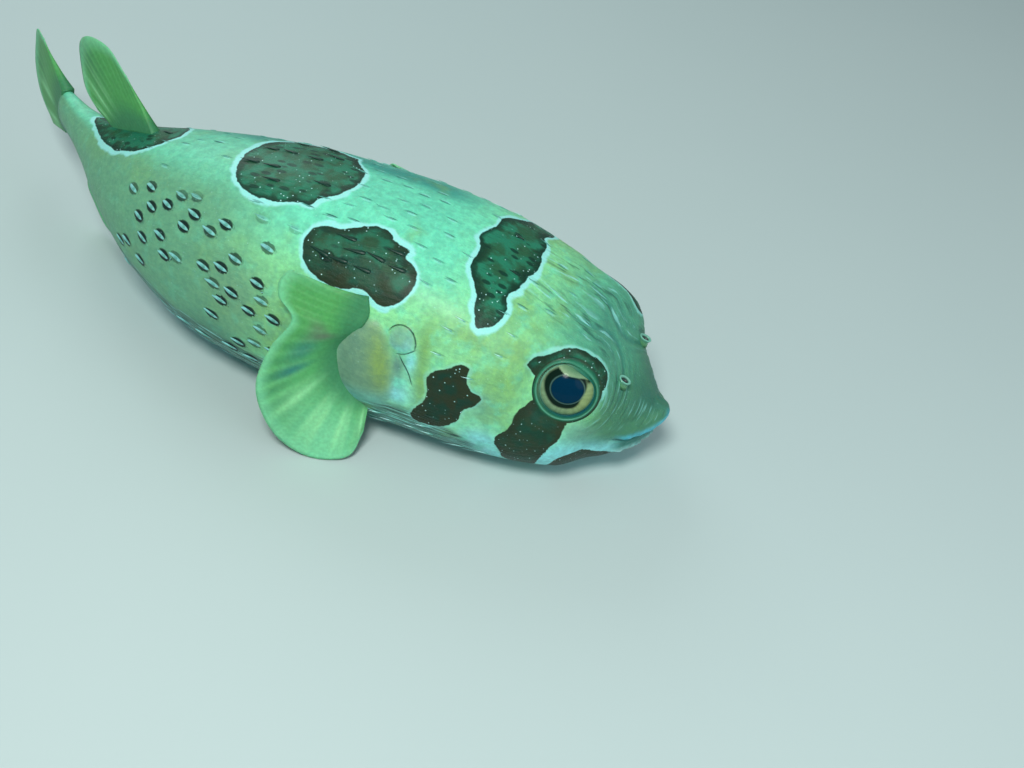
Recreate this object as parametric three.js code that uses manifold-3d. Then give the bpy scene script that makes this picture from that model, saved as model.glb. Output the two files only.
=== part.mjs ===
// Black-blotched porcupinefish (Diodon liturosus), life size, lying on its belly with the spines down.
// Millimetres, +Z up. The head points to +X, the fish's right flank faces -Y, and z = 0 is the floor.
//
// Every form is first made on a straight fish, where x runs back along the body from just ahead of the
// snout, y is negative on the right flank and z is the height above the floor. swing() then bends the
// tail to the fish's left and puts the whole fish in the part's own frame.

import * as THREE from "three";
import { mergeVertices } from "three/addons/utils/BufferGeometryUtils.js";
import Module from "manifold-3d";

const wasm = await Module();
wasm.setup();

// ---------------------------------------------------------------- driving dimensions

const SNOUT = 5; // where the snout's tip lies along x
const STALK_END = 385; // the end of the tail stalk
const HEAD_END = 108; // the head is parted from the trunk here, in front of the gill opening
const TRUNK_END = 292; // and the trunk from the tail stalk here
const GAP = 0.3; // clearance between neighbouring pieces
const COLUMNS = 32; // facets round the body

// Where x and y begin, measured from the middle of the box that holds the whole fish.
const ORIGIN = { x: 214.5, y: -7.7 };

// The hull: place along the body, back, keel, half width, height of the widest point,
// fullness of the upper and of the lower half of the section (2 is an ellipse).
const HULL = [
  [SNOUT, 42, 17, 16, 34, 2.1, 2.2],
  [15, 49.5, 6.5, 23, 31, 2.0, 2.4],
  [30, 62.5, 5, 34.5, 35.5, 2.05, 2.4],
  [47, 79.5, 1, 49.5, 42, 2.4, 2.6],
  [75, 91, -1, 57, 46, 2.5, 2.7],
  [110, 102, -1.5, 60, 49, 2.4, 2.7],
  [150, 108, -1.5, 60, 50, 2.3, 2.7],
  [195, 109, -1, 58, 51, 2.2, 2.6],
  [240, 104, 3, 53, 52, 2.1, 2.4],
  [280, 95, 13, 42, 54, 2.0, 2.2],
  [315, 83, 28, 28, 57, 2.0, 2.0],
  [345, 74, 42, 15, 59, 2.0, 2.0],
  [367, 71, 47, 9, 60, 2.0, 2.0],
  [385, 72, 47, 6, 60, 2.0, 2.0],
];
const MUZZLE = { round: 22, power: 1.9 }; // the snout's rounding: its length and its fullness
const LEAN = { slope: 0.19, reach: 54, height: 47 }; // the face leans forward above this height

const SWING = { start: 150, angle: 34, power: 1.5 }; // the tail's bend, in degrees at the tail base

// An eye is a ball flattened along its axis, and the skin is drawn up round it to the plane of its rim.
const EYE = { centre: [49, 34.6, 58.6], axis: [-0.25, 0.9, 0.35], radius: 14, depth: 10.5 };
const RIM = { height: 5.5, flat: 13, reach: 29, deep: -8, deepest: -26 };
const LID = { radius: 12.3, thickness: 1.6 };

const NOSTRIL = { x: 27.5, angle: 59, radius: 2.4, height: 5, bore: 1.3 };

// The lips lie on the muzzle: half the mouth's width, height in the middle, rise at the corners,
// and how far their middle is sunk behind the skin.
const UPPER_LIP = { reach: 24, height: 34.6, rise: -2.2, radius: 4.7, corner: 2.8, sunk: 2.6 };
const LOWER_LIP = { reach: 22.5, height: 23.2, rise: 2.8, radius: 4.8, corner: 2.8, sunk: 1.8 };

const GILL = { x: 119, low: -6, high: 28, bow: 5, width: 5 }; // the gill slot; its ends are angles

// The fleshy base of a side fin.
const LOBE = { centre: [138, 54, 52], radii: [16, 9.5, 26], tilt: 10 };

// Spines stand in rows across the body, laid back along the skin.
const SPINE_ROWS = { first: 56, last: 282, step: 14 };
const SPINE = { spacing: 15.5, radius: 1.3, lift: 7, root: 2, shortest: 13 };

const SKIN = { color: 0xb9cf9c, roughness: 0.45 };
const FIN = { color: 0x8fb765, roughness: 0.5 };
const LIP = { color: 0x9fc4c0, roughness: 0.4 };
const NOSE_TUBE = { color: 0xcfe0da, roughness: 0.45 };
const EYEBALL = { color: 0x14283a, roughness: 0.08 };

// ---------------------------------------------------------------- the hull

const radians = THREE.MathUtils.degToRad;
const smoothstep = THREE.MathUtils.smoothstep;
const lerp = THREE.MathUtils.lerp;
const vec = (x, y, z) => new THREE.Vector3(x, y, z);

// A monotone cubic through one column of the hull's table, at x.
function hullColumn(column, x) {
  const last = HULL.length - 1;
  const slope = (i) => (HULL[i + 1][column] - HULL[i][column]) / (HULL[i + 1][0] - HULL[i][0]);
  const tangent = (i) => {
    const before = slope(Math.max(i - 1, 0));
    const after = slope(Math.min(i, last - 1));
    return before * after > 0 ? (2 * before * after) / (before + after) : 0;
  };
  let i = 0;
  while (i < last - 1 && x > HULL[i + 1][0]) i++;
  const length = HULL[i + 1][0] - HULL[i][0];
  const t = (x - HULL[i][0]) / length;
  const t2 = t * t;
  const t3 = t2 * t;
  return (
    (2 * t3 - 3 * t2 + 1) * HULL[i][column] +
    (t3 - 2 * t2 + t) * length * tangent(i) +
    (-2 * t3 + 3 * t2) * HULL[i + 1][column] +
    (t3 - t2) * length * tangent(i + 1)
  );
}

// The body's section at x, drawn in towards the tip of the snout.
function section(x) {
  const [back, keel, half, middle, upper, lower] = [1, 2, 3, 4, 5, 6].map((k) => hullColumn(k, x));
  const ahead = Math.max(1 - Math.max(x - SNOUT, 0) / MUZZLE.round, 0);
  const share = (1 - ahead ** MUZZLE.power) ** (1 / MUZZLE.power);
  return { above: back - middle, below: middle - keel, half, middle, upper, lower, share };
}

const lean = (x, z, share) => LEAN.slope * (1 - smoothstep(x, 0, LEAN.reach)) * (z - LEAN.height) * share;

function eyeFrame(side) {
  const centre = vec(EYE.centre[0], side * EYE.centre[1], EYE.centre[2]);
  const axis = vec(EYE.axis[0], side * EYE.axis[1], EYE.axis[2]).normalize();
  const turn = new THREE.Quaternion().setFromUnitVectors(vec(0, 0, 1), axis);
  return { centre, axis, turn };
}

// The skin rises to the plane of the eye's rim, and falls back to the hull away from it. The middle of
// the crown and the snout lie too deep behind that plane to be drawn up.
function drawUpRoundEye(point) {
  const { centre, axis } = eyeFrame(Math.sign(point.y));
  const away = point.clone().sub(centre);
  const height = away.dot(axis);
  const across = away.addScaledVector(axis, -height).length();
  const near = 1 - smoothstep(across, RIM.flat, RIM.reach);
  const share = near * smoothstep(height, RIM.deepest, RIM.deep);
  return point.addScaledVector(axis, (RIM.height - height) * share);
}

// A point of the skin: x along the body, angle round it (0 right flank, 90 back, 180 left
// flank, -90 keel), and how far outside the skin it lies.
function skinPoint(x, angle, outside = 0) {
  const { above, below, half, middle, upper, lower, share } = section(x);
  const c = Math.cos(radians(angle));
  const s = Math.sin(radians(angle));
  const power = 2 / (s >= 0 ? upper : lower);
  const height = (s >= 0 ? above : below) * share + outside;
  const y = -(half * share + outside) * Math.sign(c) * Math.abs(c) ** power;
  const z = middle + height * Math.sign(s) * Math.abs(s) ** power;
  const point = vec(x - lean(x, z, share), y, z);
  return Math.abs(y) > 1 ? drawUpRoundEye(point) : point;
}

// The same place as a frame: the point, the way back along the skin, and the way out of it.
function skinFrame(x, angle) {
  const at = skinPoint(x, angle);
  const back = skinPoint(x + 1, angle).sub(skinPoint(x - 1, angle)).normalize();
  const round = skinPoint(x, angle + 1).sub(skinPoint(x, angle - 1));
  const out = back.clone().cross(round).normalize();
  const fromAxis = at.clone().sub(vec(at.x, 0, section(x).middle));
  if (out.dot(fromAxis) < 0) out.negate();
  return { at, back, out };
}

// Where the muzzle's skin lies along x, at a place given by y and z.
function muzzleDepth(y, z) {
  const inside = (x) => {
    const { above, below, half, middle, upper, lower, share } = section(x);
    const power = z >= middle ? upper : lower;
    const reach = (z >= middle ? above : below) * share;
    return (Math.abs(y) / (half * share)) ** power + (Math.abs(z - middle) / reach) ** power < 1;
  };
  let outer = SNOUT;
  let inner = LEAN.reach;
  for (let i = 0; i < 24; i++) {
    const x = (outer + inner) / 2;
    if (inside(x)) inner = x;
    else outer = x;
  }
  return inner - lean(inner, z, section(inner).share);
}

// ---------------------------------------------------------------- the bend of the tail

const CENTRE_LINE = [{ x: 0, y: 0, heading: 0 }];
for (let s = 1; s <= STALK_END * 1.5; s++) {
  const last = CENTRE_LINE[s - 1];
  const along = Math.max(0, (s - SWING.start) / (STALK_END - SWING.start));
  CENTRE_LINE.push({
    x: last.x + Math.cos(last.heading),
    y: last.y + Math.sin(last.heading),
    heading: radians(SWING.angle * Math.min(along ** SWING.power, 1.25)),
  });
}

// From the straight fish to the part's own frame.
function swing(x, y, z) {
  const i = THREE.MathUtils.clamp(Math.floor(x), 0, CENTRE_LINE.length - 2);
  const [here, next] = [CENTRE_LINE[i], CENTRE_LINE[i + 1]];
  const heading = lerp(here.heading, next.heading, x - i);
  const along = lerp(here.x, next.x, x - i) - y * Math.sin(heading);
  const across = lerp(here.y, next.y, x - i) + y * Math.cos(heading);
  return [ORIGIN.x - along, ORIGIN.y + across, z];
}

// ---------------------------------------------------------------- solids

// A closed three.js geometry as a manifold-3d solid, with its faces turned outwards.
function solid(geometry) {
  const bare = geometry.clone();
  bare.deleteAttribute("normal");
  bare.deleteAttribute("uv");
  const merged = mergeVertices(bare, 1e-4);
  const faces = [];
  const index = merged.index.array;
  for (let i = 0; i < index.length; i += 3) {
    const [a, b, c] = index.slice(i, i + 3);
    if (a !== b && b !== c && c !== a) faces.push(a, b, c);
  }
  const vertProperties = merged.attributes.position.array;
  const build = (list) =>
    new wasm.Manifold(new wasm.Mesh({ numProp: 3, vertProperties, triVerts: new Uint32Array(list) }));
  const made = build(faces);
  return made.volume() >= 0 ? made : build(faces.reverse());
}

// A solid through closed rings of points. Each end is closed by a strip from a ring's one side to its
// other, so a ring lists one side in order and then the other side in the opposite order.
function skinOver(rings) {
  const size = rings[0].length;
  const index = [];
  for (let i = 0; i < rings.length - 1; i++) {
    for (let j = 0; j < size; j++) {
      const next = (j + 1) % size;
      const [a, b] = [i * size + j, i * size + next];
      const [c, d] = [b + size, a + size];
      index.push(a, b, c, a, c, d);
    }
  }
  for (const ring of [0, rings.length - 1]) {
    for (let k = 0; k < size / 2 - 1; k++) {
      const [a, b, c, d] = [k, k + 1, size - 2 - k, size - 1 - k].map((j) => ring * size + j);
      if (ring === 0) index.push(a, c, b, a, d, c);
      else index.push(a, b, c, a, c, d);
    }
  }
  const geometry = new THREE.BufferGeometry();
  const positions = rings.flat().flatMap((point) => point.toArray());
  geometry.setAttribute("position", new THREE.Float32BufferAttribute(positions, 3));
  geometry.setIndex(index);
  return solid(geometry);
}

// A length of the body between two places. Crowding above 1 draws its stations towards the snout.
function bodyLength(from, to, steps, { outside = 0, crowding = 1 } = {}) {
  const rings = [];
  for (let i = 0; i <= steps; i++) {
    const x = from + (to - from) * (i / steps) ** crowding;
    const ring = [];
    for (let j = 0; j < COLUMNS; j++) {
      ring.push(skinPoint(x, -90 + (360 * (j + 0.5)) / COLUMNS, outside));
    }
    rings.push(ring);
  }
  return skinOver(rings);
}

// A tube of varying radius along a curve that runs roughly level.
function taperedTube(curve, steps, sides, radiusAt) {
  const rings = [];
  for (let i = 0; i <= steps; i++) {
    const t = i / steps;
    const along = curve.getTangent(t);
    const side = along.clone().cross(vec(0, 0, 1)).normalize();
    const top = side.clone().cross(along).normalize();
    const ring = [];
    for (let j = 0; j < sides; j++) {
      const a = (2 * Math.PI * (j + 0.5)) / sides;
      const point = curve.getPoint(t).addScaledVector(side, radiusAt(t) * Math.cos(a));
      ring.push(point.addScaledVector(top, radiusAt(t) * Math.sin(a)));
    }
    rings.push(ring);
  }
  return skinOver(rings);
}

const curveThrough = (points) =>
  new THREE.CatmullRomCurve3(points.map((p) => vec(...p)), false, "centripetal");

// A block that takes away all that lies below the floor.
const UNDER_FLOOR = solid(new THREE.BoxGeometry(1200, 600, 60).translate(200, 0, -30));

// ---------------------------------------------------------------- head

function eyeball(side, outside = 0) {
  const { centre, turn } = eyeFrame(side);
  const [radius, depth] = [EYE.radius + outside, EYE.depth + outside];
  const ball = new THREE.SphereGeometry(1, 16, 10).rotateX(Math.PI / 2).scale(radius, radius, depth);
  return solid(ball.applyQuaternion(turn).translate(...centre));
}

function eyelid(side) {
  const { centre, axis, turn } = eyeFrame(side);
  const ring = new THREE.TorusGeometry(LID.radius, LID.thickness, 6, 18).applyQuaternion(turn);
  return solid(ring.translate(...centre.addScaledVector(axis, RIM.height)));
}

function lip({ reach, height, rise, radius, corner, sunk }, outside = 0) {
  const points = [];
  for (let t = -1; t <= 1.001; t += 0.25) {
    const y = reach * Math.sin((Math.PI / 2) * t);
    const z = height + rise * t ** 2;
    points.push([muzzleDepth(y, z) + sunk, y, z]);
  }
  const radiusAt = (t) => lerp(corner, radius, Math.sin(Math.PI * t) ** 0.6) + outside;
  return taperedTube(curveThrough(points), 12, 8, radiusAt);
}

function nostril(side, outside = 0) {
  const { at, out } = skinFrame(NOSTRIL.x, side < 0 ? NOSTRIL.angle : 180 - NOSTRIL.angle);
  const { radius, height, bore } = NOSTRIL;
  const outline = [
    [0, -3],
    [radius + 0.4 + outside, -3],
    [radius + outside, height * 0.5],
    [radius + 0.3 + outside, height],
    [bore, height],
    [bore * 0.7, height - 3],
    [0, height - 3],
  ];
  const tube = new THREE.LatheGeometry(outline.map(([r, h]) => new THREE.Vector2(r, h)), 10);
  tube.applyQuaternion(new THREE.Quaternion().setFromUnitVectors(vec(0, 1, 0), out));
  return solid(tube.translate(...at));
}

// ---------------------------------------------------------------- spines

// A spine's length: short on the brow and belly, longest on the flanks behind the side fins.
function spineLength(x, angle) {
  const up = Math.sin(radians(angle));
  const flank = 1 - Math.abs(up) ** 3;
  const grown = 7 + smoothstep(x, 55, 175) * (4.5 + 4 * flank);
  const towardsTail = 1 - 0.4 * smoothstep(x, 235, 295);
  const towardsBelly = 1 - 0.5 * smoothstep(-up, 0.3, 0.95);
  return grown * towardsTail * towardsBelly;
}

// The side fin and the belly's resting place are bare.
function isBare(x, angle) {
  const flankAngle = Math.abs(angle) > 90 ? Math.sign(angle) * (180 - Math.abs(angle)) : angle;
  const underFin = x > 106 && x < 200 && flankAngle > -65 && flankAngle < 42;
  return underFin || flankAngle < -48;
}

function spinePlaces(from, to) {
  const places = [];
  for (let row = 0; SPINE_ROWS.first + row * SPINE_ROWS.step <= SPINE_ROWS.last; row++) {
    const x = SPINE_ROWS.first + row * SPINE_ROWS.step;
    const { half, above, below } = section(x);
    const count = 2 * Math.round((Math.PI * (half + (above + below) / 2)) / SPINE.spacing / 2);
    for (let k = 0; k < count; k++) {
      const angle = -180 + (360 * (k + (row % 2) / 2)) / count;
      const longEnough = spineLength(x, angle) >= SPINE.shortest;
      if (x >= from && x <= to && longEnough && !isBare(x, angle)) places.push({ x, angle });
    }
  }
  return places;
}

function spine({ x, angle }) {
  const { at, back, out } = skinFrame(x, angle);
  const length = spineLength(x, angle);
  const lift = radians(SPINE.lift);
  const along = back.multiplyScalar(Math.cos(lift)).addScaledVector(out, Math.sin(lift));
  const cone = new THREE.ConeGeometry(SPINE.radius, length + SPINE.root, 3, 1);
  cone.applyQuaternion(new THREE.Quaternion().setFromUnitVectors(vec(0, 1, 0), along));
  return solid(cone.translate(...at.addScaledVector(along, (length - SPINE.root) / 2)));
}

// ---------------------------------------------------------------- fins

// The right side fin, spread back and out from its fleshy base, with its lower edge on the floor.
const SIDE_FIN = {
  root: [
    [144.5, -51.5, 86],
    [147, -56.5, 79],
    [151, -61, 68],
    [152, -63.5, 53],
    [148, -63.5, 39],
    [140, -60.5, 29],
  ],
  margin: [
    [174, -54.5, 85],
    [181, -54, 88.5],
    [185.5, -56.5, 82.5],
    [183.5, -60, 76],
    [175, -64.5, 70],
    [182, -71, 54],
    [185, -78, 36],
    [181, -80.5, 22],
    [172, -80, 7],
    [160, -78.5, 0.9],
    [147, -74, 0.4],
    [139, -68, 0.8],
    [138, -61, 11],
  ],
  rays: 18,
  thick: 3,
  camber: -3,
};

const BACK_FIN = {
  root: [
    [297, 0, 88],
    [312, 0, 83],
    [329, 0, 77],
  ],
  margin: [
    [318, 0, 112],
    [336, 0, 121],
    [354, 0, 119],
    [364, 0, 106],
    [360, 0, 90],
    [348, 0, 79],
  ],
  rays: 14,
  thick: 4,
  camber: 0,
};

const VENT_FIN = {
  root: [
    [309, 0, 28],
    [322, 0, 34],
    [337, 0, 41],
  ],
  margin: [
    [327, 0, 8],
    [342, 0, 3.5],
    [357, 0, 8],
    [365, 0, 19],
    [363, 0, 31],
    [354, 0, 41],
  ],
  rays: 13,
  thick: 4,
  camber: 0,
};

const TAIL_FIN = {
  root: [
    [383, 0, 73],
    [386, 0, 60],
    [383, 0, 47],
  ],
  margin: [
    [418, 0, 87],
    [440, 0, 82],
    [449, 0, 68],
    [450, 0, 55],
    [443, 0, 40],
    [420, 0, 32],
  ],
  rays: 9,
  thick: 5,
  camber: 0,
};

const FIN_EDGE = 1; // thickness at a fin's margin
const FIN_ROWS = 3;
const BETWEEN_RAYS = 0.65; // the membrane's share of a ray's thickness
const THINNEST = 0.6;

// A fin is a fan of rays from its root to its margin, and each ray is a low ridge along the membrane.
function fan({ root, margin, rays, thick, camber }) {
  const rootCurve = curveThrough(root);
  const marginCurve = curveThrough(margin);
  const middle = (u, v) => {
    const bulge = camber * Math.sin(Math.PI * v) * Math.sin(Math.PI * u);
    return rootCurve.getPoint(u).lerp(marginCurve.getPoint(u), v).add(vec(0, bulge, 0));
  };
  const normal = (u, v) => {
    const step = 0.01;
    const across = middle(Math.min(u + step, 1), v).sub(middle(Math.max(u - step, 0), v));
    const along = middle(u, Math.min(v + step, 1)).sub(middle(u, Math.max(v - step, 0)));
    return across.cross(along).normalize();
  };
  const rings = [];
  for (let i = 0; i <= rays * 2; i++) {
    const u = i / (rays * 2);
    const share = i % 2 === 1 ? 1 : BETWEEN_RAYS;
    const faces = [1, -1].map((side) => {
      const line = [];
      for (let k = 0; k <= FIN_ROWS; k++) {
        const v = k / FIN_ROWS;
        const half = Math.max(lerp(thick, FIN_EDGE, v) * share, THINNEST) / 2;
        line.push(middle(u, v).addScaledVector(normal(u, v), side * half));
      }
      return line;
    });
    rings.push([...faces[0], ...faces[1].reverse()]);
  }
  return skinOver(rings);
}

function sideFin(side) {
  const turned = (points) => points.map(([x, y, z]) => [x, -side * y, z]);
  const { root, margin, camber } = SIDE_FIN;
  return fan({ ...SIDE_FIN, root: turned(root), margin: turned(margin), camber: -side * camber });
}

// ---------------------------------------------------------------- trunk

function gillSlot(side) {
  const path = [];
  for (let t = 0; t <= 1; t += 0.25) {
    const angle = lerp(GILL.low, GILL.high, t);
    const x = GILL.x - GILL.bow * Math.sin(Math.PI * t);
    path.push(skinPoint(x, side < 0 ? angle : 180 - angle).toArray());
  }
  const radiusAt = (t) => (GILL.width / 2) * (0.35 + 0.65 * Math.sin(Math.PI * t));
  return taperedTube(curveThrough(path), 8, 6, radiusAt);
}

function lobe(side, outside = 0) {
  const shape = new THREE.SphereGeometry(1, 16, 10).rotateX(Math.PI / 2);
  shape.scale(...LOBE.radii.map((radius) => radius + outside)).rotateY(radians(LOBE.tilt));
  return solid(shape.translate(LOBE.centre[0], side * LOBE.centre[1], LOBE.centre[2]));
}

// ---------------------------------------------------------------- the pieces

function headSolid() {
  let head = bodyLength(SNOUT, HEAD_END - GAP / 2, 18, { crowding: 1.6 });
  for (const side of [-1, 1]) head = head.add(eyelid(side)).subtract(eyeball(side, GAP));
  for (const place of spinePlaces(0, HEAD_END - 15)) head = head.add(spine(place));
  for (const shape of [UPPER_LIP, LOWER_LIP]) head = head.subtract(lip(shape, GAP));
  for (const side of [-1, 1]) head = head.subtract(nostril(side, GAP));
  return head;
}

function trunkSolid() {
  let trunk = bodyLength(HEAD_END + GAP / 2, TRUNK_END - GAP / 2, 14);
  for (const place of spinePlaces(HEAD_END, TRUNK_END - 15)) trunk = trunk.add(spine(place));
  for (const side of [-1, 1]) trunk = trunk.subtract(lobe(side, GAP)).subtract(gillSlot(side));
  return trunk;
}

function buildSolids() {
  const bodySpace = bodyLength(HEAD_END, STALK_END + GAP, 24, { outside: GAP });
  const solids = {
    head: headSolid(),
    upper_lip: lip(UPPER_LIP),
    lower_lip: lip(LOWER_LIP).subtract(lip(UPPER_LIP, GAP)),
    trunk: trunkSolid(),
    tail_stalk: bodyLength(TRUNK_END + GAP / 2, STALK_END, 9),
    dorsal_fin: fan(BACK_FIN).subtract(bodySpace),
    anal_fin: fan(VENT_FIN).subtract(bodySpace),
    caudal_fin: fan(TAIL_FIN).subtract(bodySpace),
  };
  for (const [name, side] of [
    ["right", -1],
    ["left", 1],
  ]) {
    solids[`eye_${name}`] = eyeball(side);
    solids[`nostril_${name}`] = nostril(side);
    solids[`pectoral_base_${name}`] = lobe(side);
    solids[`pectoral_fin_${name}`] = sideFin(side).subtract(lobe(side, GAP)).subtract(bodySpace);
  }
  return solids;
}

function finish(name) {
  if (name.startsWith("eye")) return EYEBALL;
  if (name.startsWith("nostril")) return NOSE_TUBE;
  if (name.endsWith("lip")) return LIP;
  return name.includes("fin") ? FIN : SKIN;
}

// ---------------------------------------------------------------- the model

const fish = new THREE.Group();
for (const [name, made] of Object.entries(buildSolids())) {
  const mesh = made.subtract(UNDER_FLOOR).getMesh();
  const positions = [];
  for (let i = 0; i < mesh.vertProperties.length; i += mesh.numProp) {
    positions.push(...swing(...mesh.vertProperties.subarray(i, i + 3)));
  }
  const geometry = new THREE.BufferGeometry();
  geometry.setAttribute("position", new THREE.Float32BufferAttribute(positions, 3));
  // The straight fish counts x backwards, so its triangles turn the other way in the part's frame.
  geometry.setIndex([...mesh.triVerts].reverse());
  geometry.computeVertexNormals();
  const piece = new THREE.Mesh(geometry, new THREE.MeshStandardMaterial(finish(name)));
  piece.name = name;
  fish.add(piece);
}

export default fish;
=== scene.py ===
"""The looks of a black-blotched porcupinefish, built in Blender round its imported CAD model.

The fish is modelled straight and in millimetres, as its solids are: x runs back along the body from
just ahead of the snout, y is negative on the right flank, and z is the height above the floor. An angle
goes round the body: 0 is the right flank, 90 the back, 180 the left flank and -90 the keel. swing()
bends the tail to the fish's left and turns millimetres to metres in the frame of the CAD model.
"""

import math

import bmesh
import bpy
import numpy as np
from mathutils import Matrix
from mathutils.kdtree import KDTree


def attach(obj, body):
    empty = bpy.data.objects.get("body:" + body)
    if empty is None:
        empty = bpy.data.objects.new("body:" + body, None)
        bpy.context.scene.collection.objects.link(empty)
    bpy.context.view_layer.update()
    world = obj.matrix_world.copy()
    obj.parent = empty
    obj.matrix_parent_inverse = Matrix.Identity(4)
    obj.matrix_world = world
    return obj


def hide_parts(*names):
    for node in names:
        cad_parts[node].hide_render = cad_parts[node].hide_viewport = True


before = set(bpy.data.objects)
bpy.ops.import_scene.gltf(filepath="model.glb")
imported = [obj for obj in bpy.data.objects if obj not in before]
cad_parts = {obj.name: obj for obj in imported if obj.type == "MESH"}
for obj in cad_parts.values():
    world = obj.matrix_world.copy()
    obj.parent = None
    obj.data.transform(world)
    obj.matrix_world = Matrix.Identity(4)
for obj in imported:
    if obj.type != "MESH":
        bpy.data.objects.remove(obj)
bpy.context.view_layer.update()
draws = np.random.default_rng(7)

# ---------------------------------------------------------------- dimensions that repeat the solids'

SNOUT = 5
STALK_END = 385
ORIGIN = (214.5, -7.7)  # where x and y begin, in the frame of the CAD model

# Place along the body, back, keel, half width, height of the widest point, and the fullness of
# the upper and of the lower half of the section.
HULL = np.array(
    [
        (SNOUT, 42, 17, 16, 34, 2.1, 2.2),
        (15, 49.5, 6.5, 23, 31, 2.0, 2.4),
        (30, 62.5, 5, 34.5, 35.5, 2.05, 2.4),
        (47, 79.5, 1, 49.5, 42, 2.4, 2.6),
        (75, 91, -1, 57, 46, 2.5, 2.7),
        (110, 102, -1.5, 60, 49, 2.4, 2.7),
        (150, 108, -1.5, 60, 50, 2.3, 2.7),
        (195, 109, -1, 58, 51, 2.2, 2.6),
        (240, 104, 3, 53, 52, 2.1, 2.4),
        (280, 95, 13, 42, 54, 2.0, 2.2),
        (315, 83, 28, 28, 57, 2.0, 2.0),
        (345, 74, 42, 15, 59, 2.0, 2.0),
        (367, 71, 47, 9, 60, 2.0, 2.0),
        (385, 72, 47, 6, 60, 2.0, 2.0),
    ],
    float,
)
MUZZLE_ROUND = 22
MUZZLE_POWER = 1.9
LEAN = {"slope": 0.19, "reach": 54, "height": 47}
SWING = {"start": 150, "angle": 34, "power": 1.5, "most": 1.25}

EYE_CENTRE = np.array((49, 34.6, 58.6))
EYE_AXIS = np.array((-0.25, 0.9, 0.35)) / math.hypot(0.25, 0.9, 0.35)
EYE_RADIUS = 14
EYE_DEPTH = 10.5
RIM = {"height": 5.5, "flat": 13, "reach": 29, "deep": -8, "deepest": -26}

NOSTRIL = {"x": 27.5, "angle": 59, "along": 1.1, "beside": 0.9, "segments": 36}
# The nostril's tube as (radius, height over the skin), from under the skin over its rim and down inside.
NOSTRIL_OUTLINE = (
    (2.9, -1.6), (2.5, 0.1), (2.3, 0.8), (2.3, 1.6), (2.6, 2.3), (2.8, 2.8), (2.65, 3.1), (2.2, 3.15),
    (1.8, 2.8), (1.5, 2.2), (1.3, 1.6), (0.6, 1.4),
)
LOBE = {"centre": (138, 54, 52), "radii": (16, 9.5, 26), "tilt": 10}
LOBE_FULLNESS = 0.6  # how much longer its low rear corner is

# ---------------------------------------------------------------- dimensions of the detail

COLUMNS = 288  # of the skin's grid, round the body
NOSE_ROWS = 27  # of the skin's grid, over the rounded muzzle
NOSE_SHARE = 0.965  # of the muzzle's full section, where they end
FACE_ROWS = 54
FACE_END = 62
BODY_ROWS = 236
EYE_HOLE = 16.4  # the grid gives way to the round eyelid inside this
EYE_HOLE_DEPTH = 14
LID_SEGMENTS = 112
LID_OPENING = 13.1
# The lid's rings, as (share of the way out from its edge on the eye, height over the skin there).
LID_RINGS = (
    (0.9, 0.02), (0.78, 0.1), (0.66, 0.4), (0.55, 0.85), (0.45, 1.1), (0.36, 1.15), (0.28, 0.95),
    (0.2, 0.5), (0.12, 0.15), (0.05, 0.1),
)
HOOD = {"angle": 60, "width": 40, "depth": 2.6}  # the upper lid hangs over the eye's front corner

EYE_SEGMENTS = 128
PUPIL = {"radius": 7.5, "lift": 1.5, "flatness": 0.87}
# The lower edge of the upper lid's brim, as (ahead of the eye's axis, above it).
BRIM = (
    (-9, 12), (-6.5, 11.5), (-4.6, 9.7), (-2.8, 8.4), (-1, 7.8), (0.5, 7.6), (3.7, 7.4), (6.6, 7.2),
    (9.6, 6.8),
)

# The slit of the mouth: its height, the arch in its middle and the rise at its corners.
MOUTH = {"height": 27.4, "arch": 4.2, "arch_width": 7, "rise": 0.8, "half": 26}

# The gill opening's lines on the right flank, as (x, angle), and its pale flap.
GILL_LINES = {
    "arc": [(132, 21.5), (130, 25), (126.5, 27.5), (122, 27.3), (118.8, 24.5), (117.4, 20.5), (117.7, 16)],
    "under": [(126, 12.4), (121, 14.4), (116.5, 18.2)],
    "slit": [(124.8, 13), (121.3, 8.5), (118.6, 4.5), (116, 0)],
}
GILL_FLAP = {"x": 124.2, "angle": 20.8, "radii": (6.9, 6.9)}

SPINE_ROWS = {"first": 60, "last": 286, "step": 5.5, "spacing": 15}
SPINE_SPREAD = {"along": 1.7, "angle": 1.9}  # how far a root strays from its even place in its row
SPINES_APART = {"along": 8.4, "across": 6.6}
SPINES_FROM_EYE = 22
SPINE_TURN = 14  # degrees that a rear spine points upwards
SPINE_SIDES = 8
# Place along a spine, as a share of its length or in millimetres before its root, and its width there.
SPINE_STATIONS = (
    (-1.6, 0.6), (0.0, 0.85), (0.15, 1.0), (0.35, 0.85), (0.58, 0.55), (0.8, 0.28), (0.93, 0.11), (1.0, 0.03),
)
CROWN_SPINES = [(49, 80), (47, 97), (53, 104)]  # the three foremost, as (x, angle)

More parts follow.
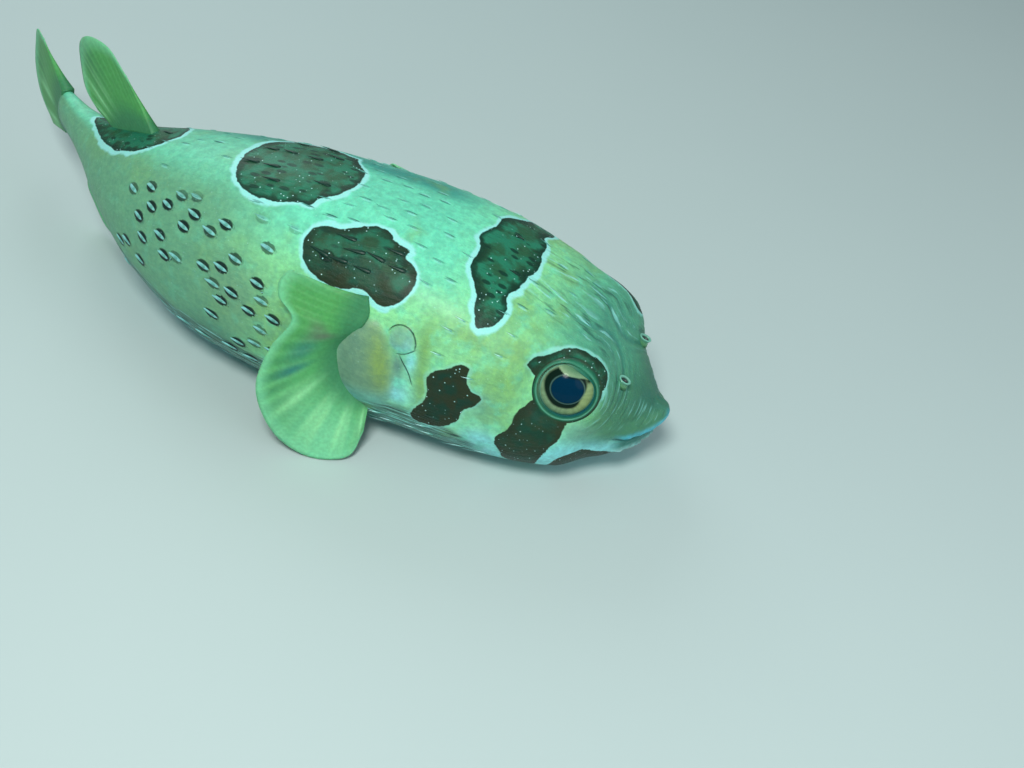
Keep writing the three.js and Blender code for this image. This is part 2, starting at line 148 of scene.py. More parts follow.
# Blotches on the right flank, as (distance behind the snout, angle) in turn round each edge.
FLANK_BLOTCHES = {
    "side": [
        (183, 49), (182, 55), (177, 60), (168, 62), (160, 67), (150, 70), (142, 66), (134, 64),
        (135, 60), (129, 57), (126, 50), (127, 43), (131, 37), (138, 32), (146, 36), (153, 36),
        (162, 33), (173, 35), (180, 42),
    ],
    "gill": [
        (106, 12), (100, 16), (95, 20), (91, 20), (91, 14), (88, 8), (83, 6), (85, 1), (90, -1),
        (93, -8), (100, -15), (111, -18), (116, -16), (112, -5), (108, 0), (110, 6),
    ],
    "eye": [
        (67, 35), (65, 41), (59, 48), (54, 58), (50, 62), (44, 64), (38, 64), (35, 59), (34, 49),
        (34, 35), (36, 20), (42, 7), (44, 0), (47, -7), (53, -24), (57, -42), (65, -46), (70, -34),
        (72, -22), (74, -11), (69, -3), (65, 6), (59, 15), (58, 26), (63, 31),
    ],
    "chin": [
        (34, -15), (25, -23), (17, -27), (13, -36), (16, -46), (24, -52), (38, -56), (50, -54),
        (49, -36), (44, -22),
    ],
}
# Half of each blotch that crosses the back, from the middle of the back round its right edge.
BACK_BLOTCHES = {
    "nape": [
        (111, 90), (107, 81), (107, 73), (103, 65), (99, 59), (98, 53), (96, 48), (93, 43), (88, 47),
        (84, 54), (84, 61), (86, 67), (83, 75), (82, 83), (80, 90),
    ],
    "back": [
        (236, 90), (233, 76), (226, 66), (214, 62), (202, 63), (193, 67), (187, 68), (185, 73),
        (179, 79), (175, 85), (174, 90),
    ],
    "fin": [(350, 90), (345, 74), (331, 60), (314, 55), (298, 60), (287, 70), (281, 82), (279, 90)],
}
LEFT_LOWER = {"side": 16}  # no fish is quite the same on both sides
# How strong the white border is, and how brown the blotch is, from 0 to 1.
BLOTCH_BORDER = {"side": 1, "gill": 0.3, "eye": 0.6, "chin": 0, "nape": 1, "back": 1, "fin": 1}
BLOTCH_BROWNNESS = {"side": 0.35, "gill": 1, "eye": 0.9, "chin": 1, "nape": 0, "back": 0.1, "fin": 0.1}
BLOTCH_SAMPLES = 14  # of a blotch's smooth edge, for each point of its outline

# Each fin is a fan of rays between its root and its margin; it is thicker by so much at its root.
SIDE_FIN = {
    "root": [
        (144.5, -51.5, 86), (142, -55.5, 78), (146.5, -60.5, 69), (152, -63.5, 58), (151.5, -64, 46),
        (146, -62.5, 36), (140, -60.5, 29),
    ],
    "margin": [
        (174, -54.5, 85), (181, -54, 88.5), (185.5, -56.5, 82.5), (183.5, -60, 76), (175, -64.5, 70),
        (182, -71, 54), (185, -78, 36), (181, -80.5, 22), (172, -80, 7), (160, -78.5, 0.9), (149, -74.5, 0.5),
        (141, -69, 2.5), (138, -61, 12),
    ],
    "rays": 23,
    "thick": 1.6,
    "sunk": 8,  # how far the low part of its root lies inside the body
    "camber": -3,
}
MIDDLE_FIN = {"sunk": 0, "camber": 0}
BACK_FIN = MIDDLE_FIN | {
    "root": [(297, 0, 88), (312, 0, 83), (329, 0, 77)],
    "margin": [(318, 0, 112), (336, 0, 121), (354, 0, 119), (364, 0, 106), (360, 0, 90), (348, 0, 79)],
    "rays": 15,
    "thick": 5,
}
VENT_FIN = MIDDLE_FIN | {
    "root": [(309, 0, 28), (322, 0, 34), (337, 0, 41)],
    "margin": [(327, 0, 8), (342, 0, 3.5), (357, 0, 8), (365, 0, 19), (363, 0, 31), (354, 0, 41)],
    "rays": 14,
    "thick": 5,
}
TAIL_FIN = MIDDLE_FIN | {
    "root": [(383, 0, 73), (386, 0, 60), (383, 0, 47)],
    "margin": [(418, 0, 87), (440, 0, 82), (449, 0, 68), (450, 0, 55), (443, 0, 40), (420, 0, 32)],
    "rays": 9,
    "thick": 6,
}
RAY_COLUMNS = 8  # of a fin's grid, for each ray
FIN_ROWS = 28
MEMBRANE = 0.6  # how thick a fin is at its margin

FLOOR = {"half": 4.0, "below": 0.0004}
# Each light's name, place, aim, size, power and colour, in the frame of the CAD model.
LIGHTS = (
    ("key", (0.15, -0.75, 1.15), (0.03, 0, 0.04), 0.4, 14, (1.0, 1.0, 0.96)),
    ("fill", (1.0, -0.4, 0.6), (0.1, 0, 0.05), 0.8, 2.5, (0.9, 0.98, 1.0)),
    ("rim", (-0.7, 0.8, 0.8), (0, 0, 0.05), 0.7, 4, (0.9, 1.0, 1.0)),
)
SKY = {"colour": (0.86, 0.95, 1.0, 1), "strength": 0.3}
CAMERA = {"place": (0.25982, -0.52556, 0.46687), "azimuth": 14, "elevation": 40, "roll": 9.5, "view": 41}

# ---------------------------------------------------------------- colours


def linear(red, green, blue):
    """A colour given as a screen shows it, 0 to 255, as the linear light that shaders use."""
    shown = np.array((red, green, blue)) / 255
    return np.where(shown <= 0.04045, shown / 12.92, ((shown + 0.055) / 1.055) ** 2.4)


BACK_YELLOW = linear(142, 226, 158)
BACK_GREEN = linear(108, 226, 192)
# painted shade for the far side of the back, past its ridge
RIDGE_SHADE = linear(0, 122, 120)
CHEEK = linear(140, 216, 150)
CHEEK_OLIVE = linear(128, 178, 96)
FOREHEAD = linear(96, 180, 140)
SNOUT_OLIVE = linear(82, 142, 96)
SNOUT_GREY = linear(46, 104, 92)
REAR_FLANK = linear(108, 172, 132)
REAR_TAUPE = linear(104, 140, 114)
REAR_GREY = linear(66, 122, 108)
BELLY = linear(150, 238, 240)
BELLY_LINE = linear(16, 58, 60)
BELLY_GREY = linear(84, 128, 116)
LOBE_SKIN = linear(118, 160, 130)
LOBE_BAND = linear(132, 166, 84)
LOBE_LOW = linear(116, 196, 188)
# the upper lip's pale rim with a painted highlight on it
LIP_PALE_AND_HIGHLIGHT = linear(84, 196, 216)
LIP_SKIN = linear(54, 124, 114)
# painted shade in the mouth's slit and in the gill opening's lines
CREASE_SHADE = linear(20, 60, 56)
GILL_PALE = linear(126, 190, 186)
THROAT = linear(140, 246, 255)
GILL_GREY = linear(96, 134, 128)
CHEEK_GREY = linear(116, 176, 150)
LID_GREEN = linear(34, 108, 76)
# teal: a tone of the skin, and painted shade in the creases by the eye and in the groove of the lids
TEAL_AND_GROOVE_SHADE = linear(20, 92, 100)
BLOTCH_TEAL = linear(34, 120, 92)
BLOTCH_OLIVE = linear(40, 78, 48)
BLOTCH_LOW = linear(14, 56, 42)
BLOTCH_BROWN = linear(38, 50, 30)
BLOTCH_RIM = linear(4, 40, 30)
# pale: the blotches' own white border, and painted glints beside the spines and along the skin's folds
BORDER_AND_GLINT = linear(150, 228, 222)
# painted shadow of the dashes beside the spines
SPINE_GROOVE_SHADE = linear(30, 98, 88)
# near white: the skin's specks, the chin's fringe and the cheek's pale spines, and painted glints on the tips
# of the spines under the flank
SPECK_AND_GLINT = linear(190, 246, 244)
SPINE_PALE = linear(132, 206, 204)
BLOTCH_WEDGE = linear(6, 52, 40)
SPINE_ROOT = linear(96, 172, 158)
# near black: painted shade in the rear flank's pits and inside the nostrils, and the fine grain's darker
# flecks
BLACK = linear(4, 24, 26)
FIN_GREEN = linear(78, 160, 88)
FIN_LOW = linear(128, 216, 168)
FIN_TEAL = linear(48, 122, 120)
FIN_BROWN = linear(98, 118, 100)
FIN_ROOT = linear(58, 128, 92)
RAY_PALE = linear(150, 226, 164)
PUPIL_BLUE = linear(0, 44, 68)
IRIS_CREAM = linear(140, 172, 134)
IRIS_GOLD = linear(148, 172, 116)
# dark: the iris's ring round the pupil, and painted shade under the lid's brim
IRIS_DARK_AND_SHADE = linear(14, 34, 26)
PUPIL_LINE = linear(96, 138, 132)
SCLERA = linear(110, 180, 160)
FLOOR_GREY = linear(176, 196, 196)
FLOOR_PALE = linear(186, 204, 203)

# Soft patches of colour on each flank: colour, x, angle, reach along, reach in degrees, strength.
PATCHES = (
    (CHEEK, 92, 30, 22, 24, 1),
    (CHEEK_OLIVE, 73, 40, 9, 13, 0.75),
    (CHEEK_OLIVE, 74, 18, 9, 12, 0.5),
    (CHEEK_OLIVE, 98, 36, 12, 6, 0.6),
    (CHEEK_OLIVE, 113, 20, 4, 17, 0.85),
    (CHEEK_OLIVE, 112, 1, 3.5, 8, 0.9),
    (CHEEK_OLIVE, 139, 44, 14, 6, 0.7),
    (CHEEK_GREY, 84, 4, 12, 8, 0.8),
    (BELLY, 80, -16, 11, 9, 0.95),
    (BELLY, 124, -4, 8, 6, 0.95),
    (BELLY, 118.5, 11, 2.6, 6, 0.95),
    (GILL_GREY, 124.5, 7, 3.6, 7, 0.9),
    (THROAT, 44, -22, 9, 17, 1),
    (BLOTCH_LOW, 21, -38, 7, 9, 0.8),
    (REAR_GREY, 219, -15, 16, 9, 0.7),
    (CHEEK_GREY, 37, 3, 8, 10, 0.9),
    (LIP_SKIN, 30, -14, 7, 9, 0.8),
    (REAR_TAUPE, 207, 10, 20, 22, 0.65),
    (SNOUT_GREY, 12, 72, 9, 26, 0.7),
    (TEAL_AND_GROOVE_SHADE, 40, 88, 10, 26, 0.3),
    (SNOUT_OLIVE, 28, 30, 9, 16, 0.6),
)
# Soft patches on the side fins: colour, place round the fan, place out along it, their reaches, strength.
FIN_PATCHES = (
    (FIN_LOW, 0.78, 0.75, 0.2, 0.5, 0.8),
    (FIN_LOW, 0.06, 0.9, 0.07, 0.4, 0.4),
    (FIN_TEAL, 0.43, 0.55, 0.045, 0.18, 0.7),
    (FIN_TEAL, 0.5, 0.6, 0.018, 0.2, 0.9),
    (FIN_BROWN, 0.37, 0.42, 0.02, 0.16, 0.85),
    (FIN_BROWN, 0.34, 0.56, 0.04, 0.14, 0.6),
)

FOLD_LEAN = 28  # how steeply the creases come down the brow, in degrees
EYE_FOLDS = ((21, 0.25), (24, 0.35), (27.5, 0.65), (31, 0.35), (34.5, 0.3), (39, 0.25))  # radius, depth

# What the vertices beyond the skin's grid take instead: the eyelids are painted by their own colours.
BEYOND_GRID = {
    "zone": LID_GREEN, "blotch": 5.0, "border": 0.8, "brown": 0.9, "mark_u": 60.0, "mark_v": 12.0,
} | {"gill_" + name: 9.0 for name in GILL_LINES}
MARK_KINDS = {"straight": "FLOAT_VECTOR", "flow_place": "FLOAT_VECTOR", "zone": "FLOAT_COLOR"}

# ---------------------------------------------------------------- numbers


def smoothstep(value, low, high):
    """0 up to low, rising smoothly to 1 at high."""
    t = np.clip((value - low) / (high - low), 0, 1)
    return t * t * (3 - 2 * t)


def falling(value, low, high):
    """1 up to low, falling smoothly to 0 at high."""
    return 1 - smoothstep(value, low, high)


def hill(value, middle, width):
    """1 at the middle, falling away to nothing within about two widths."""
    return np.exp(-(((value - middle) / width) ** 2))


def facing(bearing, middle, width):
    """A hill round a circle of degrees."""
    return hill((bearing - middle + 180) % 360 - 180, 0, width)


def unit(vectors):
    """The directions of vectors."""
    return vectors / np.maximum(np.linalg.norm(vectors, axis=-1, keepdims=True), 1e-9)


def blend(colours, other, share):
    """Colours moved towards another colour by a share for each place."""
    share = np.clip(share, 0, 1)[..., None]
    return colours * (1 - share) + other * share


def curve_through(points, places):
    """Points of a centripetal Catmull-Rom curve, at places from 0 to 1 counted by its own points."""
    points = np.array(points, float)
    ends = [2 * points[0] - points[1]], [2 * points[-1] - points[-2]]
    padded = np.concatenate([ends[0], points, ends[1]])
    at = np.asarray(places) * (len(points) - 1)
    i = np.clip(at.astype(int), 0, len(points) - 2)
    t = (at - i)[:, None]
    a, b, c, d = (padded[i + k] for k in range(4))
    steps = (a, b), (b, c), (c, d)
    before, during, after = (np.linalg.norm(q - p, axis=1)[:, None] ** 0.5 for p, q in steps)
    start = during * ((b - a) / before - (c - a) / (before + during) + (c - b) / during)
    stop = during * ((c - b) / during - (d - b) / (during + after) + (d - c) / after)
    return (
        b
        + start * t
        + (3 * (c - b) - 2 * start - stop) * t**2
        + (2 * (b - c) + start + stop) * t**3
    )


# ---------------------------------------------------------------- the hull


def section(x):
    """The body's section at x: above, below, half width, middle, upper, lower and share."""
    stations, values = HULL[:, 0], HULL[:, 1:]
    lengths = np.diff(stations)
    slopes = np.diff(values, axis=0) / lengths[:, None]
    before = np.vstack([slopes[:1], slopes])
    after = np.vstack([slopes, slopes[-1:]])
    bends = before * after > 0
    tangents = np.where(bends, 2 * before * after / np.where(bends, before + after, 1), 0)
    i = np.clip(np.searchsorted(stations, x, side="right") - 1, 0, len(lengths) - 1)
    length = lengths[i][..., None]
    t = (x[..., None] - stations[i][..., None]) / length
    found = (
        (2 * t**3 - 3 * t**2 + 1) * values[i]
        + (t**3 - 2 * t**2 + t) * length * tangents[i]
        + (-2 * t**3 + 3 * t**2) * values[i + 1]
        + (t**3 - t**2) * length * tangents[i + 1]
    )
    back, keel, half, middle, upper, lower = np.moveaxis(found, -1, 0)
    ahead = np.clip(1 - (x - SNOUT) / MUZZLE_ROUND, 0, 1)
    share = (1 - ahead**MUZZLE_POWER) ** (1 / MUZZLE_POWER)
    return back - middle, middle - keel, half, middle, upper, lower, share


def eye_place(points):
    """Where points are from the nearer eye: height along its axis, distance across, way from it."""
    folded = np.stack([points[..., 0], np.abs(points[..., 1]), points[..., 2]], -1)
    away = folded - EYE_CENTRE
    height = away @ EYE_AXIS
    level = away - height[..., None] * EYE_AXIS
    return height, np.linalg.norm(level, axis=-1), level


def eye_directions():
    """The eye's own upwards and forwards directions, across its axis, for the left eye."""
    up = unit(np.array((0, 0, 1.0)) - EYE_AXIS[2] * EYE_AXIS)
    forwards = np.cross(up, EYE_AXIS)
    return up, forwards if forwards[0] < 0 else -forwards


def draw_up_round_eye(points):
    """The skin rises to the plane of the eye's rim."""
    side = np.where(points[..., 1] < 0, -1.0, 1.0)
    height, across, _ = eye_place(points)
    near = falling(across, RIM["flat"], RIM["reach"])
    share = near * smoothstep(height, RIM["deepest"], RIM["deep"]) * (np.abs(points[..., 1]) > 1)
    lift = EYE_AXIS * ((RIM["height"] - height) * share)[..., None]
    lift[..., 1] *= side
    return points + lift


def skin_point(x, angle):
    """A point of the plain skin."""
    x, angle = np.broadcast_arrays(np.asarray(x, float), np.asarray(angle, float))
    above, below, half, middle, upper, lower, share = section(x)
    c, s = np.cos(np.radians(angle)), np.sin(np.radians(angle))
    power = 2 / np.where(s >= 0, upper, lower)
    y = -half * share * np.sign(c) * np.abs(c) ** power
    z = middle + np.where(s >= 0, above, below) * share * np.sign(s) * np.abs(s) ** power
    fade = falling(x, 0, LEAN["reach"])
    lean = LEAN["slope"] * fade * (z - LEAN["height"]) * share
    return draw_up_round_eye(np.stack([x - lean, y, z], -1))


def skin_frame(x, angle):
    """The plain skin's point, the way back along it, and the way out of it."""
    at = skin_point(x, angle)
    back = unit(skin_point(x + 1, angle) - skin_point(x - 1, angle))
    out = unit(np.cross(back, skin_point(x, angle + 1) - skin_point(x, angle - 1)))
    middle = np.stack([at[..., 0], 0 * at[..., 0], section(x)[3]], -1)
    return at, back, out * np.sign(np.sum(out * (at - middle), -1))[..., None]


# ---------------------------------------------------------------- the bend of the tail


def centre_line():
    """The bent middle line of the body: places along it, where they lie and which way it heads."""
    steps = np.arange(int(STALK_END * 1.5) + 1)
    along = np.maximum(0, (steps - SWING["start"]) / (STALK_END - SWING["start"]))
    heading = np.radians(SWING["angle"] * np.minimum(along ** SWING["power"], SWING["most"]))
    x = np.concatenate([[0], np.cumsum(np.cos(heading[:-1]))])
    y = np.concatenate([[0], np.cumsum(np.sin(heading[:-1]))])
    return steps, x, y, heading


CENTRE_LINE = centre_line()


def swing(points):
    """From the straight fish in millimetres to the frame of the CAD model in metres."""
    steps, line_x, line_y, headings = CENTRE_LINE
    x, y, z = np.moveaxis(points, -1, 0)
    heading = np.interp(x, steps, headings)
    along = np.interp(x, steps, line_x) + np.minimum(x, 0) - y * np.sin(heading)
    across = np.interp(x, steps, line_y) + y * np.cos(heading)
    return np.stack([ORIGIN[0] - along, ORIGIN[1] + across, np.maximum(z, 0)], -1) / 1000


# ---------------------------------------------------------------- meshes


def add_mesh(name, points, faces, material):
    """An object from straight-fish points and faces, riding with the body."""
    mesh = bpy.data.meshes.new(name)
    mesh.from_pydata(swing(points).tolist(), [], faces)
    mesh.shade_smooth()
    mesh.materials.append(material)
    thing = bpy.data.objects.new(name, mesh)
    bpy.context.scene.collection.objects.link(thing)
    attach(thing, "root")
    return thing


def store(thing, name, kind, values):
    """Values for each vertex, as an attribute that the material reads."""
    attribute = thing.data.attributes.new(name, kind, "POINT")
    values = np.asarray(values, np.float32)
    if kind == "FLOAT_COLOR":
        values = np.hstack([values, np.ones((len(values), 1), np.float32)])
        attribute.data.foreach_set("color", values.ravel())
    elif kind == "FLOAT_VECTOR":
        attribute.data.foreach_set("vector", values.ravel())
    else:
        attribute.data.foreach_set("value", values)


def grid_faces(rows, columns, closed):
    """Quads of a grid of vertices; closed joins each row's end to its start."""
    i = np.arange(rows - 1)[:, None] * columns
    j = np.arange(columns if closed else columns - 1)[None, :]
    following = (j + 1) % columns
    return np.stack([i + j, i + following, i + columns + following, i + columns + j], -1).reshape(-1, 4)


def turn_outwards(thing):
    """Turns all faces of a closed or nearly closed mesh outwards."""
    work = bmesh.new()
    work.from_mesh(thing.data)
    bmesh.ops.recalc_face_normals(work, faces=work.faces)
    work.to_mesh(thing.data)
    work.free()


def add_painted(name, points, faces, colours, material):
    """An object with a colour at each vertex, for painted_material."""
    thing = add_mesh(name, points, faces, material)
    turn_outwards(thing)
    store(thing, "straight", "FLOAT_VECTOR", points)
    store(thing, "zone", "FLOAT_COLOR", colours)
    return thing


# ---------------------------------------------------------------- markings


def edge_of(outline):
    """A blotch's outline as a smooth closed line of (x, angle)."""
    closed = np.array(outline + outline[:1], float)
    places = np.linspace(0, 1, BLOTCH_SAMPLES * len(outline) + 1)[:-1]
    flat = np.column_stack([closed, np.zeros(len(closed))])
    return curve_through(flat, places)[:, :2]


def both_flanks(line, lower=0):
    """A line of (x, angle) on the right flank, and its mirror image on the left, lower by some degrees."""
    return [line, np.column_stack([line[:, 0], 180 + lower - line[:, 1]])]


def blotch_edges():
    """Every blotch's edge, with how strong its border is at each point and how brown it is."""
    edges = []
    for name, outline in FLANK_BLOTCHES.items():
        edge = edge_of(outline)
        upper = smoothstep(edge[:, 1], 18, 48) if name == "eye" else 0 * edge[:, 1]
        border = BLOTCH_BORDER[name] * (upper if name == "eye" else 1 - upper)
        brown = BLOTCH_BROWNNESS[name] * (1 - 0.6 * upper)
        if name == "side":
            brown = np.maximum(brown, 0.9 - 0.9 * smoothstep(edge[:, 1], 33, 44))
        edges += [(side, border, brown) for side in both_flanks(edge, LEFT_LOWER.get(name, 0))]
    for name, outline in BACK_BLOTCHES.items():
        edge = edge_of(outline + [(x, 180 - angle) for x, angle in outline[-2:0:-1]])
        plain = np.ones(len(edge))
        edges.append((edge, BLOTCH_BORDER[name] * plain, BLOTCH_BROWNNESS[name] * plain))
    return edges


def is_inside(edge, x, angle):
    """Whether places lie inside a closed line, by counting the line's crossings."""
    inside = np.zeros(len(x), bool)
    near = (x > edge[:, 0].min()) & (x < edge[:, 0].max())
    near &= (angle > edge[:, 1].min()) & (angle < edge[:, 1].max())
    px, pa = x[near], angle[near]
    odd = np.zeros(len(px), bool)
    for (x0, a0), (x1, a1) in zip(edge, np.roll(edge, -1, 0)):
        if a0 == a1:
            continue
        crosses = (a0 > pa) != (a1 > pa)
        odd ^= crosses & (px < x0 + (x1 - x0) * (pa - a0) / (a1 - a0))
    inside[near] = odd
    return inside


def nearest_of(line, points):
    """For each point, which place of a line is nearest to it, and how far away that is."""
    tree = KDTree(len(line))
    for i, place in enumerate(line):
        tree.insert(place, i)
    tree.balance()
    found = [tree.find(point)[1:] for point in points]
    return np.array([index for index, _ in found]), np.array([away for _, away in found])


def blotch_depth(points, x, angle, far=14):
    """How far inside a blotch places lie, in mm (negative outside), their border and brownness."""
    edges = blotch_edges()
    nearest, away = nearest_of(np.concatenate([skin_point(*edge.T) for edge, _, _ in edges]), points)
    border = np.concatenate([border for _, border, _ in edges])[nearest]
    brown = np.concatenate([brown for _, _, brown in edges])[nearest]
    inside = np.zeros(len(x), bool)
    for edge, _, _ in edges:
        inside |= is_inside(edge, x, angle)
    return np.clip(np.where(inside, away, -away), -far, far), border, brown


def line_distance(points, line, reach=9.0):
    """How far places lie to one side of a thin line on both flanks, and how strong the line is there."""
    samples = np.linspace(0, 1, 30 * len(line))
    flat = curve_through(np.column_stack([np.array(line, float), np.zeros(len(line))]), samples)[:, :2]
    places, _, outs = skin_frame(*np.concatenate(both_flanks(flat)).T)
    half = len(samples)
    along = np.concatenate([np.gradient(places[:half], axis=0), np.gradient(places[half:], axis=0)])
    sides = unit(np.cross(outs, along))
    strength = np.tile(smoothstep(0.5 - np.abs(samples - 0.5), 0, 0.16), 2)
    near = np.flatnonzero(((points > places.min(0) - reach) & (points < places.max(0) + reach)).all(1))
    nearest, _ = nearest_of(places, points[near])
    apart = points[near] - places[nearest]
    apart -= np.sum(apart * outs[nearest], 1)[:, None] * outs[nearest]
    away = np.linalg.norm(apart, axis=1)
    found, strong = np.full(len(points), reach), np.zeros(len(points))
    found[near] = np.sign(np.sum(apart * sides[nearest], 1)) * np.minimum(away, reach)
    strong[near] = strength[nearest] * (away < 3)
    return found, strong


# ---------------------------------------------------------------- spines


def flank_angle(angle):
    """An angle as seen from its own flank: 90 on the back and -90 at the keel."""
    turned = (angle + 180) % 360 - 180
    return np.where(np.abs(turned) > 90, np.sign(turned) * 180 - turned, turned)


def rearness(x, flank):
    """1 on the rear flank, where the spines are stout and lie in pits, and 0 on the head and back."""
    return smoothstep(x, 150, 178) * falling(flank, 42, 60) * falling(-flank, 26, 44)


def cheekness(x, flank):
    """1 on the cheek, where the spines are pale streaks, and 0 elsewhere."""
    return falling(x, 108, 130) * falling(flank, 46, 58)


def spine_frame(x, angle):
    """A spine's root, the way it points, up across it and out; on the rear flank it points up a little."""
    root, back, out = skin_frame(x, angle)
    up = np.cross(out, back) * np.where(root[..., 1:2] < 0, 1, -1)
    turn = np.radians(SPINE_TURN * rearness(x, flank_angle(angle)) * smoothstep(flank_angle(angle), -18, 0))
    turn = turn[..., None]
    return root, back * np.cos(turn) + up * np.sin(turn), up * np.cos(turn) - back * np.sin(turn), out


def spine_length(x, angle, dark):
    """Short nearly everywhere, longer under the flanks and in the dark blotches."""
    flank = flank_angle(angle)
    grown = 4.6 + smoothstep(x, 60, 130) - 0.6 * rearness(x, flank) + 5 * smoothstep(-flank, 15, 45)
    grown += dark * (0.8 + 3 * smoothstep(x, 110, 140))
    return grown * (1 - 0.25 * smoothstep(x, 240, 295))


def is_bare(x, flank):
    """Where no spine grows: round the gill, the side fin's base and the cheek, and under the belly."""
    by_fin = 104 < x < 172 and -18 < flank < 44
    return by_fin or flank < -58 or (x < 72 and flank < 48) or (x < 104 and -26 < flank < 4)


def crosses_edge(x, angle, length=8):
    """Whether a spine would lie across the rear edge of a blotch, where none does."""
    root_depth = blotch_depth(skin_point(x, angle), x, angle)[0]
    tip_depth = blotch_depth(skin_point(x + length, angle), x + length, angle)[0]
    return (root_depth > -1) & (tip_depth < 0.5)


def row_of_spines(row, x):
    """The uneven places of one row's spines; every other row is shifted by half a step."""
    above, below, half = (float(v) for v in section(np.array(x))[:3])
    count = round(math.pi * (half + (above + below) / 2) / SPINE_ROWS["spacing"])
    places = []
    for k in range(count):
        angle = -90 + 360 * (k + row % 2 / 2) / count
        shift_x, shift_angle, chance = draws.uniform(-1, 1, 3)
        flank = float(flank_angle(angle))
        common = 0.6 + 0.36 * rearness(x, flank) - 0.3 * falling(x, 70, 100)
        if chance * 0.5 + 0.5 < common and not is_bare(x, flank):
            places.append((x + SPINE_SPREAD["along"] * shift_x, angle + SPINE_SPREAD["angle"] * shift_angle))
    return places


def well_apart(places):
    """Which places are far enough from the eyes and from each place kept before them."""
    roots, backs, ups, _ = spine_frame(places[:, 0], places[:, 1])
    kept = []
    for i, root in enumerate(roots):
        away = root - roots[kept]
        along = away @ backs[i] / SPINES_APART["along"]
        across = away @ ups[i] / SPINES_APART["across"]
        if eye_place(root)[1] > SPINES_FROM_EYE and (along**2 + across**2 > 1).all():
            kept.append(i)
    return kept


def spine_places():
    """The roots of all spines as (x, angle), in uneven rows across the body, kept well apart."""
    places = CROWN_SPINES + [(x, 180 - angle) for x, angle in CROWN_SPINES]
    rows = np.arange(SPINE_ROWS["first"], SPINE_ROWS["last"], SPINE_ROWS["step"])
    for row, x in enumerate(rows):
        places += row_of_spines(row, x)
    found = np.array(places)
    found = found[~crosses_edge(found[:, 0], found[:, 1])]
    return found[well_apart(found)]


# ---------------------------------------------------------------- the skin's relief


